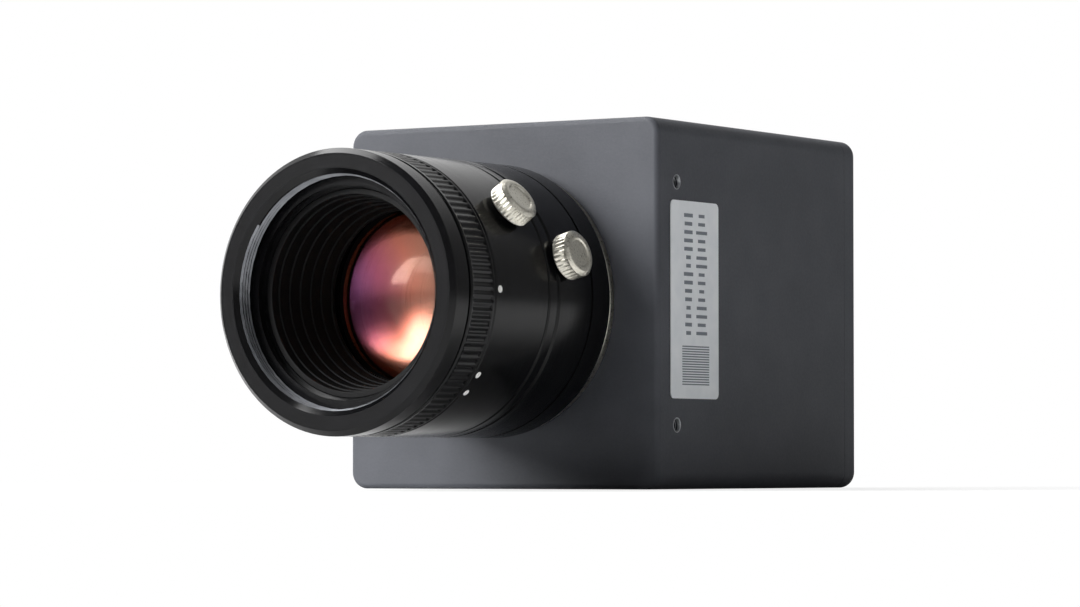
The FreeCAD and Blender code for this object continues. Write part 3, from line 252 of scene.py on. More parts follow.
def clear_glass():
    """The polished outer face: clear, with a thin warm reflection that grows at a slant."""
    material, tree = new_material("polished_optical_glass")
    clear = node(tree, "ShaderNodeBsdfTransparent", {"Color": linear("#FFF6F0")})
    gloss = node(tree, "ShaderNodeBsdfGlossy", {"Color": linear("#FFDCCB"), "Roughness": 0.16})
    share = node(tree, "ShaderNodeFresnel", {"IOR": 1.35}).outputs[0]
    both = node(tree, "ShaderNodeMixShader", {0: share, 1: clear.outputs[0], 2: gloss.outputs[0]})
    node(tree, "ShaderNodeOutputMaterial", {"Surface": both.outputs[0]})
    return material


def glass_coating():
    """Anti-reflection coating on the inner glass face: violet face on, through rust to a pale peach at a slant."""
    material, tree = new_material("magnesium_fluoride_coating")
    slant = node(tree, "ShaderNodeLayerWeight", {"Blend": 0.5}).outputs["Facing"]
    ramp = node(tree, "ShaderNodeValToRGB", {0: slant})
    stops = ramp.color_ramp.elements
    for place, colour in COATING_COLOURS:
        stop = stops.new(place)
        stop.color = linear(colour)
    stops.remove(stops[0])
    stops.remove(stops[len(stops) - 1])
    film = node(tree, "ShaderNodeBsdfPrincipled", {
        "Base Color": ramp.outputs["Color"], "Metallic": 1.0, "Roughness": 0.25,
        "Coat Weight": 1.0, "Coat Roughness": 0.25, "Coat IOR": 1.8,
    })
    clear = node(tree, "ShaderNodeBsdfTransparent", {"Color": linear("#FFF2EA")})
    both = node(tree, "ShaderNodeMixShader", {0: 0.65, 1: clear.outputs[0], 2: film.outputs[0]})
    node(tree, "ShaderNodeOutputMaterial", {"Surface": both.outputs[0]})
    return material


# The coating's reflected colour, from face on to slanted
COATING_COLOURS = ((0.01, "#7440B0"), (0.06, "#9C4480"), (0.12, "#C2786A"), (0.2, "#CFA596"), (0.32, "#B5A79C"))


def grained_finish(name, colour, roughness=0.45, metallic=0.0, grain_mm=0.3):
    """A finish of one colour whose gloss varies with a fine grain."""
    material, tree = new_material(name)
    grain = grained(tree, grain_mm)
    surfaced(tree, {
        "Base Color": linear(colour),
        "Metallic": metallic,
        "Roughness": ranged(tree, grain, roughness - 0.06, roughness + 0.06),
        "Normal": bumped(tree, grain, 0.1, 0.01),
    })
    return material


def silver_film():
    """Silver polyester film: pale, half metallic and even."""
    material, tree = new_material("silver_polyester_film")
    grain = grained(tree, 2.5)
    surfaced(tree, {
        "Base Color": mixed(tree, ranged(tree, grain, 0.0, 1.0), "#DCE0E4", "#E4E7EA"),
        "Metallic": 0.1,
        "Roughness": ranged(tree, grain, 0.3, 0.36),
    })
    return material


FINISHES = {}


def finish(slot):
    """The material of a slot, made the first time it is asked for."""
    if slot not in FINISHES:
        FINISHES[slot] = FINISH_MAKERS[slot]()
    return FINISHES[slot]


FINISH_MAKERS = {
    "housing_paint": painted_aluminium,
    "lens_black": black_anodised,
    "baffle_black": matt_black,
    # The filter thread's crests: a lighter metallic grey, a painted glint on black anodising
    "thread_crests": painted_glint_anodised,
    "nickel": nickel_plate,
    "optical_glass": clear_glass,
    "glass_coating": glass_coating,
    # Zinc plated steel: grey, a little cloudy
    "steel": lambda: grained_finish("zinc_plated_steel", "#A9ABAE", 0.36, 1.0),
    # Spring steel blackened in hot oxide: dark, slightly blue
    "blade_steel": lambda: grained_finish("blackened_spring_steel", "#191A20", 0.34, 0.7),
    "holder_aluminium": lambda: grained_finish("milled_aluminium", "#B4B6B9", 0.34, 1.0),
    "circuit_board": lambda: grained_finish("green_solder_mask", "#0B4628", 0.28),
    "package": lambda: grained_finish("moulded_epoxy", "#17181B", 0.5),
    "gold": lambda: grained_finish("gold_flashed_contacts", "#D3AB52", 0.22, 1.0),
    "light_pipe": lambda: grained_finish("clear_acrylic_light_pipe", "#C9DCC6", 0.14),
    "label": silver_film,
    "ink_white": lambda: grained_finish("white_filled_engraving", "#E6E6E2", 0.55),
    "ink_grey": lambda: grained_finish("grey_thermal_print", "#6E747C", 0.6),
}


# Meshes ---------------------------------------------------------------------------------------

def piece_from(mesh, name, body, slot, surface=None, replaces=()):
    """Puts a finished mesh in the scene, on its body and in its slot."""
    piece = bpy.data.objects.new(name, mesh)
    bpy.context.scene.collection.objects.link(piece)
    mesh.name = name
    mesh.materials.clear()
    mesh.materials.append(finish(surface or slot))
    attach(piece, body)
    if replaces:
        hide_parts(*replaces)
    return piece


def crisp(piece):
    """Smooth shading that stays flat on the faces next to narrow bevels."""
    piece.data.shade_smooth()
    weigh_normals(piece)


def weigh_normals(piece):
    weight = piece.modifiers.new("weight", "WEIGHTED_NORMAL")
    weight.keep_sharp = True


def eased(profile, radius=0.12, steps=3):
    """A profile with each corner rounded; a third number in a corner is its own radius."""
    points = []
    count = len(profile)
    for index, corner in enumerate(profile):
        here = Vector(corner[:2])
        before = Vector(profile[index - 1][:2]) - here
        after = Vector(profile[(index + 1) % count][:2]) - here
        wanted = corner[2] if len(corner) > 2 else radius
        cut = min(wanted, 0.45 * before.length, 0.45 * after.length)
        if cut < 0.005 or corner[0] < 0.001:
            points.append(here)
            continue
        start, end = here + before.normalized() * cut, here + after.normalized() * cut
        for step in range(steps + 1):
            part = step / steps
            points.append(start * (1 - part) ** 2 + here * 2 * part * (1 - part) + end * part ** 2)
    return points


def turned(profile, segments=192):
    """Turns a closed profile of (radius, height) about Z, as a mesh in its own millimetres."""
    shape = bmesh.new()
    rings = []
    for radius, height in profile:
        turns = [2 * math.pi * step / segments for step in range(segments)]
        if radius < 0.0005:
            rings.append([shape.verts.new((0, 0, height))] * segments)
        else:
            rings.append([shape.verts.new((radius * math.cos(t), radius * math.sin(t), height)) for t in turns])
    count = len(rings)
    for index in range(count):
        first, second = rings[index], rings[(index + 1) % count]
        for step in range(segments):
            after = (step + 1) % segments
            corners = [first[step], first[after], second[after], second[step]]
            corners = list(dict.fromkeys(corners))
            if len(corners) > 2:
                shape.faces.new(corners)
    bmesh.ops.recalc_face_normals(shape, faces=shape.faces)
    mesh = bpy.data.meshes.new("turned")
    shape.to_mesh(mesh)
    shape.free()
    return mesh


# Geometry node trees --------------------------------------------------------------------------

def new_tree(name, inputs):
    """An empty geometry tree with named inputs, and its input sockets."""
    tree = bpy.data.node_groups.new(name, "GeometryNodeTree")
    for label, kind in inputs.items():
        tree.interface.new_socket(name=label, in_out="INPUT", socket_type=f"NodeSocket{kind}")
    tree.interface.new_socket(name="Mesh", in_out="OUTPUT", socket_type="NodeSocketGeometry")
    return tree, node(tree, "NodeGroupInput").outputs


def closed_tree(tree, geometry, material):
    """Ends a tree in real geometry that carries its material."""
    real = node(tree, "GeometryNodeRealizeInstances", {"Geometry": geometry})
    dressed = node(tree, "GeometryNodeSetMaterial", {"Geometry": real.outputs[0], "Material": material})
    node(tree, "NodeGroupOutput", {0: dressed.outputs[0]})


def grown(tree, base, **values):
    """The plain mesh that a tree makes from a base mesh with these inputs."""
    holder = bpy.data.objects.new("holder", base or bpy.data.meshes.new("holder"))
    bpy.context.scene.collection.objects.link(holder)
    modifier = holder.modifiers.new("nodes", "NODES")
    modifier.node_group = tree
    for item in tree.interface.items_tree:
        key = item.name.replace(" ", "_").lower()
        if item.in_out == "INPUT" and key in values:
            modifier[item.identifier] = values[key]
    seen = bpy.context.evaluated_depsgraph_get()
    mesh = bpy.data.meshes.new_from_object(holder.evaluated_get(seen))
    holder.modifiers.clear()
    bpy.data.objects.remove(holder)
    return mesh


def knurl_tree():
    """Cuts straight V grooves along Z into the outermost wall of a turned mesh."""
    tree, given = new_tree("straight_knurl", {
        "Mesh": "Geometry", "Grooves": "Int", "Depth": "Float", "Radius": "Float",
        "Start": "Float", "End": "Float", "Material": "Material",
    })
    place = node(tree, "GeometryNodeInputPosition").outputs[0]
    parts = node(tree, "ShaderNodeSeparateXYZ", {0: place})
    x, y, z = parts.outputs
    turn = maths(tree, "DIVIDE", maths(tree, "ARCTAN2", y, x), 2 * math.pi)
    wave = maths(tree, "PINGPONG", maths(tree, "MULTIPLY", turn, given["Grooves"]), 0.5)
    groove = maths(tree, "SUBTRACT", 1.0, maths(tree, "MULTIPLY", wave, 2.0))
    flat = node(tree, "ShaderNodeCombineXYZ", {"X": x, "Y": y}).outputs[0]
    outwards = node(tree, "ShaderNodeVectorMath", {0: flat}, operation="NORMALIZE").outputs[0]
    reach = node(tree, "ShaderNodeVectorMath", {0: flat}, operation="LENGTH").outputs["Value"]
    on_wall = maths(tree, "GREATER_THAN", reach, maths(tree, "SUBTRACT", given["Radius"], 0.01))
    past_start = maths(tree, "GREATER_THAN", z, given["Start"])
    inside = maths(tree, "MULTIPLY", past_start, maths(tree, "LESS_THAN", z, given["End"]))
    deep = maths(tree, "MULTIPLY", groove, given["Depth"])
    amount = maths(tree, "MULTIPLY", deep, maths(tree, "MULTIPLY", on_wall, inside))
    inwards = maths(tree, "MULTIPLY", amount, -1.0)
    shift = node(tree, "ShaderNodeVectorMath", {0: outwards, 3: inwards}, operation="SCALE")
    moved = node(tree, "GeometryNodeSetPosition", {"Geometry": given["Mesh"], "Offset": shift.outputs[0]})
    closed_tree(tree, moved.outputs[0], given["Material"])
    return tree


def thread_tree():
    """A helical ridge of triangular section that climbs along Z from the origin."""
    tree, given = new_tree("thread_ridge", {
        "Radius": "Float", "Pitch": "Float", "Turns": "Float", "Depth": "Float", "Material": "Material",
    })
    spiral = node(tree, "GeometryNodeCurveSpiral", {
        "Resolution": 48, "Rotations": given["Turns"], "Start Radius": given["Radius"],
        "End Radius": given["Radius"], "Height": maths(tree, "MULTIPLY", given["Pitch"], given["Turns"]),
    })
    section = node(tree, "GeometryNodeCurvePrimitiveCircle", {"Resolution": 3, "Radius": given["Depth"]})
    ridge = node(tree, "GeometryNodeCurveToMesh", {
        "Curve": spiral.outputs[0], "Profile Curve": section.outputs[0], "Fill Caps": True,
    })
    closed_tree(tree, ridge.outputs[0], given["Material"])
    return tree


def stamp_tree():
    """Repeats a stamp on every point, its Z turned to the point's stored direction."""
    tree, given = new_tree("stamp_on_points", {
        "Points": "Geometry", "Stamp": "Object", "Scale": "Float", "Material": "Material",
    })
    facing = node(tree, "GeometryNodeInputNamedAttribute", {"Name": "facing"}, data_type="FLOAT_VECTOR")
    turned_to = node(tree, "FunctionNodeAlignRotationToVector", {"Vector": facing.outputs[0]}, axis="Z")
    stamp = node(tree, "GeometryNodeObjectInfo", {"Object": given["Stamp"], "As Instance": True})
    points = node(tree, "GeometryNodeMeshToPoints", {"Mesh": given["Points"]})
    copies = node(tree, "GeometryNodeInstanceOnPoints", {
        "Points": points.outputs[0], "Instance": stamp.outputs["Geometry"],
        "Rotation": turned_to.outputs[0], "Scale": given["Scale"],
    })
    closed_tree(tree, copies.outputs[0], given["Material"])
    return tree


def scale_tree():
    """Lines of equal spacing around a ring, as thin blocks that stand a little proud."""
    tree, given = new_tree("ring_scale", {
        "Lines": "Int", "First": "Float", "Step": "Float", "Radius": "Float", "Height": "Float",
        "Length": "Float", "Width": "Float", "Proud": "Float", "Material": "Material",
    })
    points = node(tree, "GeometryNodePoints", {"Count": given["Lines"]})
    index = node(tree, "GeometryNodeInputIndex").outputs[0]
    turn = maths(tree, "ADD", given["First"], maths(tree, "MULTIPLY", given["Step"], index))
    place = node(tree, "ShaderNodeCombineXYZ", {
        "X": maths(tree, "MULTIPLY", maths(tree, "COSINE", turn), given["Radius"]),
        "Y": maths(tree, "MULTIPLY", maths(tree, "SINE", turn), given["Radius"]),
        "Z": given["Height"],
    })
    placed = node(tree, "GeometryNodeSetPosition", {"Geometry": points.outputs[0], "Position": place.outputs[0]})
    size = node(tree, "ShaderNodeCombineXYZ", {"X": given["Proud"], "Y": given["Width"], "Z": given["Length"]})
    line = node(tree, "GeometryNodeMeshCube", {"Size": size.outputs[0]})
    spin = node(tree, "ShaderNodeCombineXYZ", {"Z": turn})
    copies = node(tree, "GeometryNodeInstanceOnPoints", {
        "Points": placed.outputs[0], "Instance": line.outputs[0], "Rotation": spin.outputs[0],
    })
    closed_tree(tree, copies.outputs[0], given["Material"])
    return tree


def print_tree():
    """A column of thin printed bars of uneven length, centred on X, running down from the origin."""
    tree, given = new_tree("print_rows", {
        "Rows": "Int", "Pitch": "Float", "Shortest": "Float", "Longest": "Float",
        "Thickness": "Float", "Proud": "Float", "Seed": "Int", "Material": "Material",
    })
    drop = node(tree, "ShaderNodeCombineXYZ", {"Y": maths(tree, "MULTIPLY", given["Pitch"], -1.0)})
    rows = node(tree, "GeometryNodeMeshLine", {"Count": given["Rows"], "Offset": drop.outputs[0]})
    points = node(tree, "GeometryNodeMeshToPoints", {"Mesh": rows.outputs[0]})
    reach = node(tree, "FunctionNodeRandomValue", {
        "Min": given["Shortest"], "Max": given["Longest"], "Seed": given["Seed"],
    }, data_type="FLOAT")
    size = node(tree, "ShaderNodeCombineXYZ", {"X": reach.outputs[1], "Y": given["Thickness"], "Z": given["Proud"]})
    bar = node(tree, "GeometryNodeMeshCube", {"Size": (1.0, 1.0, 1.0)})
    copies = node(tree, "GeometryNodeInstanceOnPoints", {
        "Points": points.outputs[0], "Instance": bar.outputs[0], "Scale": size.outputs[0],
    })
    closed_tree(tree, copies.outputs[0], given["Material"])
    return tree


# Stage ----------------------------------------------------------------------------------------

class VisionStage(bpy.types.PropertyGroup):
    lens_mm: FloatProperty(name="Lens", description="Focal length of the render camera, in mm", default=142.5, min=20)
    azimuth: FloatProperty(name="Azimuth", description="Turn of the view about Z, in degrees", default=32.4)
    pitch: FloatProperty(name="Pitch", description="Upward tilt of the view, in degrees", default=2.15)
    camera_place: FloatVectorProperty(
        name="Camera place", description="From the middle of the front face's bottom edge, in mm",
        default=(279.2, -431.2, 3.0),
    )
    fill: FloatProperty(name="Fill", description="Strength of the world's light on matt surfaces", default=0.10)


# Each lamp: name, place in metres, what it points at, width and height in metres, power in watts
LAMPS = (
    ("key", (-0.65, -0.84, 0.52), (0.0, -0.02, 0.02), (0.6, 0.6), 22.0),
    ("top", (-0.50, 0.02, 1.00), (0.0, -0.05, 0.02), (0.6, 0.6), 9.0),
    ("front_card", (-0.22, -1.04, 0.54), (0.0, -0.05, 0.02), (0.36, 0.26), 2.6),
    ("side_fill", (1.10, -0.14, 0.42), (0.0, 0.0, 0.02), (0.8, 0.8), 0.7),
)


class VISION_OT_stage(bpy.types.Operator):
    """Makes the pale floor, the white surround, the soft lamps and the camera"""

    bl_idname = "vision.stage"
    bl_label = "Stage"

    def execute(self, context):
        make_floor()
        make_surround(context.scene.vision_stage.fill)
        for lamp in LAMPS:
            make_lamp(*lamp)
        make_camera(context.scene.vision_stage)
        return {"FINISHED"}


def make_floor():
    """A white sheet that keeps the object's shadow near it and is plain white further off."""
    mesh = bpy.data.meshes.new("floor")
    half, below = 30.0, BOTTOM - 0.0001
    corners = [(-half, -half, below), (half, -half, below), (half, half, below), (-half, half, below)]
    mesh.from_pydata(corners, [], [(0, 1, 2, 3)])
    floor = bpy.data.objects.new("floor", mesh)
    bpy.context.scene.collection.objects.link(floor)
    material, tree = new_material("white_studio_sheet")
    place = node(tree, "ShaderNodeTexCoord").outputs["Object"]
    away = node(tree, "ShaderNodeVectorMath", {0: place}, operation="LENGTH").outputs["Value"]
    far = ranged(tree, away, 0.8, 1.0, 0.05, 0.2)
    seen = node(tree, "ShaderNodeLightPath").outputs["Is Camera Ray"]
    lit = node(tree, "ShaderNodeBsdfDiffuse", {"Color": linear("#F4F4F4")})
    white = node(tree, "ShaderNodeEmission", {"Color": linear("#FFFFFF"), "Strength": 1.0})
    share = maths(tree, "MULTIPLY", far, seen)
    both = node(tree, "ShaderNodeMixShader", {0: share, 1: lit.outputs[0], 2: white.outputs[0]})
    node(tree, "ShaderNodeOutputMaterial", {"Surface": both.outputs[0]})
    mesh.materials.append(material)


def make_surround(fill):
    """A white backdrop to the eye and in reflections, behind and to the left, in a dimmer room."""
    world = bpy.data.worlds.new("studio")
    world.use_nodes = True
    tree = world.node_tree
    tree.nodes.clear()
    way = node(tree, "ShaderNodeTexCoord").outputs["Generated"]
    towards = node(tree, "ShaderNodeVectorMath", {0: way, 1: (-0.7, 0.7, 0.1)}, operation="DOT_PRODUCT")
    backdrop = ranged(tree, towards.outputs["Value"], 0.2, 1.0, 0.3, 0.8)
    path = node(tree, "ShaderNodeLightPath").outputs
    mirrored = maths(tree, "MAXIMUM", path["Is Transmission Ray"], path["Is Glossy Ray"])
    mirror_level = maths(tree, "MULTIPLY", mirrored, backdrop)
    level = maths(tree, "MAXIMUM", fill, maths(tree, "MAXIMUM", mirror_level, path["Is Camera Ray"]))
    light = node(tree, "ShaderNodeBackground", {"Color": linear("#FFFFFF"), "Strength": level})
    node(tree, "ShaderNodeOutputWorld", {"Surface": light.outputs[0]})
    bpy.context.scene.world = world


def make_lamp(name, place, target, size, power):
    lamp = bpy.data.lights.new(name, "AREA")
    lamp.shape = "RECTANGLE"
    lamp.size, lamp.size_y = size
    lamp.energy = power
    light = bpy.data.objects.new(name, lamp)
    light.location = place
    light.rotation_euler = (Vector(target) - Vector(place)).to_track_quat("-Z", "Y").to_euler()
    bpy.context.scene.collection.objects.link(light)


def make_camera(settings):
    camera = bpy.data.cameras.new("camera")
    camera.lens = settings.lens_mm
    camera.sensor_width = 36.0
    camera.clip_start = 0.01
    view = bpy.data.objects.new("camera", camera)
    turn, rise = math.radians(settings.azimuth), math.radians(settings.pitch)
    look = Vector((-math.sin(turn) * math.cos(rise), math.cos(turn) * math.cos(rise), math.sin(rise)))
    view.location = Vector(settings.camera_place) * MM + Vector((0, FACE, BOTTOM))
    view.rotation_euler = look.to_track_quat("-Z", "Y").to_euler()
    bpy.context.scene.collection.objects.link(view)
    bpy.context.scene.camera = view


# Carried-over nodes ---------------------------------------------------------------------------

class VisionFinish(bpy.types.PropertyGroup):
    paint_dark: StringProperty(name="Dark paint", description="Darker tone of the enamel, sRGB", default="#3E4046")
    paint_light: StringProperty(name="Light paint", description="Lighter tone of the enamel, sRGB", default="#44464C")
    edge_mm: FloatProperty(name="Edge", description="Width of the eased edges, in mm", default=0.12, min=0.01)


class VISION_OT_plain_nodes(bpy.types.Operator):
    """Finishes the nodes that stay as they are drawn"""

    bl_idname = "vision.plain_nodes"
    bl_label = "Carried-over nodes"

    def execute(self, context):
        width = context.scene.vision_finish.edge_mm * MM
        slots = {part["node"]: part["material_slot"] for part in frame["record"]["subparts"]}
        for name, piece in frame["nodes"].items():
            piece.data.materials.clear()
            piece.data.materials.append(finish(slots[name]))
            ease_edges(piece, width)
        return {"FINISHED"}


def ease_edges(piece, width):
    """Joins the loose triangles into whole flats and eases the sharp edges, which then catch the light."""
    piece.data.shade_smooth()
    weld = piece.modifiers.new("weld", "WELD")
    weld.merge_threshold = 0.000001
    flats = piece.modifiers.new("flats", "DECIMATE")
    flats.decimate_type = "DISSOLVE"
    flats.angle_limit = math.radians(0.3)
    bevel = piece.modifiers.new("bevel", "BEVEL")
    bevel.width = width
    bevel.segments = 2
    bevel.limit_method = "ANGLE"
    bevel.angle_limit = math.radians(SHARP_DEGREES)
    weigh_normals(piece)


# Rings and lock screws ------------------------------------------------------------------------

class VisionRings(bpy.types.PropertyGroup):
    grip_grooves: IntProperty(
        name="Grip grooves", description="Number of grip grooves on the focus ring", default=110, min=12,
    )
    grip_depth: FloatProperty(name="Grip depth", description="Depth of the grip grooves, in mm", default=0.22)
    grip_length: FloatProperty(name="Grip length", description="Length of the grip band, in mm", default=4.0)
    head_radius: FloatProperty(name="Head radius", description="Radius of a lock screw's head, in mm", default=2.75)
    head_height: FloatProperty(name="Head height", description="Height of a lock screw's head, in mm", default=2.3)
    head_grooves: IntProperty(
        name="Head grooves", description="Number of grooves round a lock screw's head", default=30, min=6,
    )


class VISION_OT_focus_ring(bpy.types.Operator):
    """Makes the focus ring with its knurled grip"""

    bl_idname = "vision.focus_ring"
    bl_label = "Focus ring"

    def execute(self, context):
        settings = context.scene.vision_rings
        outer, bore, relief = LENS_RADIUS, 14.25, 15.35
        relief_start, relief_end = 18.5, 24.0
        lip, lip_depth = relief - 0.4, 1.7
        grip_end = FOCUS_END - 0.5
        grip_start = grip_end - settings.grip_length
        floor = outer - 0.12
        profile = eased([
            (bore, FOCUS_START), (outer, FOCUS_START, 0.3),
            (outer, grip_start - 0.7), (floor, grip_start - 0.6),
            (floor, grip_start - 0.4), (outer, grip_start - 0.3),
            (outer, grip_start, 0), (outer, grip_start + 0.15, 0),
            (outer, grip_end - 0.15, 0), (outer, grip_end, 0),
            (outer, FOCUS_END, 0.25), (lip, FOCUS_END), (lip, FOCUS_END - lip_depth), (bore, FOCUS_END - lip_depth),
            (bore, relief_end), (relief, relief_end), (relief, relief_start), (bore, relief_start),
        ])
        mesh = turned(profile, settings.grip_grooves * 4)
        mesh = grown(
            knurl_tree(), mesh, grooves=settings.grip_grooves, depth=settings.grip_depth, radius=outer,
            start=grip_start + 0.1, end=grip_end - 0.1, material=finish("lens_black"),
        )
        mesh.transform(OPTICAL)
        crisp(piece_from(mesh, "knurled_focus_ring", "focus_ring", "lens_black", replaces=["focus_ring"]))
        return {"FINISHED"}


class VISION_OT_lock_screws(bpy.types.Operator):
    """Makes the two knurled lock screws"""

    bl_idname = "vision.lock_screws"
    bl_label = "Lock screws"

    def execute(self, context):
        settings = context.scene.vision_rings
        tree = knurl_tree()
        for name, body in (("focus_lock_screw", "focus_lock"), ("iris_lock_screw", "iris_lock")):
            place = middle(name)
            across = Vector((place.x, 0, place.z - AXIS_HEIGHT))
            turn = math.atan2(across.z, across.x)
            head = LENS_RADIUS + 0.35
            top = head + settings.head_height
            wide = settings.head_radius
            shank, tip, dimple = 1.0, 14.3, top - 0.18
            profile = eased([
                (0, tip), (shank, tip), (shank, head - 0.25), (1.4, head),
                (wide - 0.25, head, 0.05), (wide, head + 0.25, 0.05), (wide, head + 0.3, 0),
                (wide, top - 0.45, 0), (wide, top - 0.4, 0.05),
                (wide - 0.45, top, 0.15), (1.75, top), (1.6, dimple), (0, dimple),
            ])
            mesh = turned(profile, settings.head_grooves * 4)
            mesh = grown(
                tree, mesh, grooves=settings.head_grooves, depth=0.2, radius=wide,
                start=head + 0.28, end=top - 0.42, material=finish("nickel"),
            )
            along = Matrix.Translation((0, 0, out(place.y)))
            own = along @ Matrix.Rotation(turn, 4, "Z") @ Matrix.Rotation(math.pi / 2, 4, "Y")
            mesh.transform(OPTICAL @ own)
            crisp(piece_from(mesh, f"knurled_{name}", body, "nickel", replaces=[name]))
        return {"FINISHED"}


# Front glass ----------------------------------------------------------------------------------

class VisionGlass(bpy.types.PropertyGroup):
    front_curve: FloatProperty(
        name="Front curve", description="Radius of the domed front glass, in mm", default=16.0, min=12,
    )
    dish_curve: FloatProperty(
        name="Dish curve", description="Radius of the second glass's hollow face, in mm", default=26.0, min=12,
    )
    radius: FloatProperty(name="Radius", description="Radius of the clear part of each glass, in mm", default=10.2)


class VISION_OT_front_glass(bpy.types.Operator):
    """Makes the two glasses seen from the front, with a coating on the second one's hollow face"""

    bl_idname = "vision.front_glass"
    bl_label = "Front glasses"

    def execute(self, context):
        settings = context.scene.vision_glass
        reach = [settings.radius * step / 24 for step in range(25)]
        dome = [(r, GLASS_FRONT - sag(settings.front_curve, r)) for r in reach]
        solid = dome + [(settings.radius, GLASS_BACK), (0, GLASS_BACK)]
        self.add_glass("domed_front_glass", "front_element", solid)
        edge = GLASS_BACK - 0.1
        deepest = edge - sag(settings.dish_curve, settings.radius)
        dish = [(r, deepest + sag(settings.dish_curve, r)) for r in reach]
        solid = dish + [(settings.radius, SECOND_BACK), (0, SECOND_BACK)]
        piece = self.add_glass("coated_second_glass", "second_element", solid)
        piece.data.materials.append(finish("glass_coating"))
        for face in piece.data.polygons:
            face.material_index = int(face.normal.y < -0.1)
        return {"FINISHED"}

    def add_glass(self, name, node_name, profile):
        mesh = turned(profile, 128)
        mesh.transform(OPTICAL)
        mesh.shade_smooth()
        mesh.set_sharp_from_angle(angle=math.radians(SHARP_DEGREES))
        return piece_from(mesh, name, "optical_cell", "optical_glass", replaces=[node_name])


def sag(curve, radius):
    """How far a sphere falls back at a radius from its pole."""
    return curve - math.sqrt(curve ** 2 - radius ** 2)


# Threads --------------------------------------------------------------------------------------

class VisionThreads(bpy.types.PropertyGroup):
    filter_radius: FloatProperty(name="Filter thread", description="Radius of the filter thread, in mm", default=13.5)
    filter_pitch: FloatProperty(name="Filter pitch", description="Pitch of the filter thread, in mm", default=0.5)
    pitch_share: FloatProperty(name="Hole pitch", description="Pitch of a tapped hole, over its radius", default=0.4)


class VISION_OT_threads(bpy.types.Operator):
    """Makes the ridges of the filter thread, the small tapped holes and the tripod thread"""

    bl_idname = "vision.threads"
    bl_label = "Threads"

    def execute(self, context):
        settings = context.scene.vision_threads
        tree = thread_tree()
        # The filter thread's crests carry a painted glint: a lighter metallic grey than the black anodising
        ridges = grown(
            tree, None, radius=settings.filter_radius, pitch=settings.filter_pitch, turns=3.6,
            depth=0.17, material=finish("thread_crests"),
        )
        ridges.transform(OPTICAL @ Matrix.Translation((0, 0, RIM_FRONT - 2.45)))
        ridges.shade_flat()
        piece_from(ridges, "filter_thread_ridges", "optical_cell", "lens_black", "thread_crests")

        for radius, places in hole_places().items():
            pitch = radius * settings.pitch_share
            turns = 3.6 / pitch
            thread = grown(
                tree, None, radius=radius, pitch=pitch, turns=turns, depth=pitch * 0.3, material=finish("steel"),
            )
            thread.transform(Matrix.Translation((0, 0, -3.8)))
            lip = turned(eased([
                (radius - 0.12, -0.3), (radius + 0.1, -0.1), (radius + 0.1, 0.015), (radius - 0.02, 0.015),
            ], 0.02), 48)
            stamp = joined_mesh([thread, lip])
            stamp.transform(Matrix.Scale(MM, 4))
            stamped(f"tapped_threads_{radius * 20:.0f}", stamp, places, "camera", "steel")

        tripod = grown(
            tree, None, radius=2.55, pitch=1.27, turns=3.4, depth=0.32, material=finish("steel"),
        )
        tripod.transform(Matrix.Translation((0, 0, BOTTOM + 0.0003)) @ Matrix.Scale(MM, 4))
        piece_from(tripod, "tripod_thread_ridges", "camera", "steel")
        return {"FINISHED"}


def hole_places():
    """The mouths of the tapped holes and the way each faces, by the hole's radius in mm."""
    places = {}
    for mount in frame["record"]["mounts"]:
        if mount["kind"] != "bolt_pattern":
            continue
        at, axis, dims = Vector(mount["pos_m"]), Vector(mount["axis"]), mount["dims"]
        if abs(axis.x) > 0.5:
            half = dims["spacing_y_mm"] / 2 * MM
            offsets = [Vector((0, 0, half)), Vector((0, 0, -half))]
        else:
            wide, long = dims["spacing_x_mm"] / 2 * MM, dims["spacing_y_mm"] / 2 * MM
            offsets = [Vector((sx * wide, sy * long, 0)) for sx in (-1, 1) for sy in (-1, 1)]
        places.setdefault(dims["hole_r_mm"], []).extend((at + offset, axis) for offset in offsets)
    return places


def joined_mesh(meshes):
    shape = bmesh.new()
    for mesh in meshes:
        shape.from_mesh(mesh)
    joined = bpy.data.meshes.new("joined")
    shape.to_mesh(joined)
    shape.free()
    return joined


def stamped(name, stamp_mesh, places, body, slot, surface=None):
    """One piece made of a stamp repeated at places, each a point and the way it faces."""
    points = bpy.data.meshes.new("points")
    points.from_pydata([place for place, _ in places], [], [])
    facing = points.attributes.new("facing", "FLOAT_VECTOR", "POINT")
    facing.data.foreach_set("vector", [part for _, way in places for part in way])
    stamp = bpy.data.objects.new("stamp", stamp_mesh)
    bpy.context.scene.collection.objects.link(stamp)
    mesh = grown(stamp_tree(), points, stamp=stamp, scale=1.0, material=finish(surface or slot))
    bpy.data.objects.remove(stamp)
    return piece_from(mesh, name, body, slot, surface)


# Marks ----------------------------------------------------------------------------------------

class VisionMarks(bpy.types.PropertyGroup):
    dot_radius: FloatProperty(name="Dot", description="Radius of the white index dots, in mm", default=0.42)
    dot_height: FloatProperty(name="Dot place", description="Distance of the dots behind the rim, in mm", default=9.5)
    numeral: FloatProperty(name="Numeral", description="Height of the scale numerals, in mm", default=1.5)


# Turns of the dots about the lens axis, from the side with the label, in degrees
DOT_TURNS = (1.0, -35.0, -44.0)
# The scales face away from the label: aperture numbers, and distances in metres
STOPS = ("1.4", "2", "2.8", "4", "5.6", "8", "11")
DISTANCES = ("0.2", "0.3", "0.5", "1", "2")
# How far the two rings turn, in degrees
IRIS_TURN, FOCUS_TURN = 54, 120


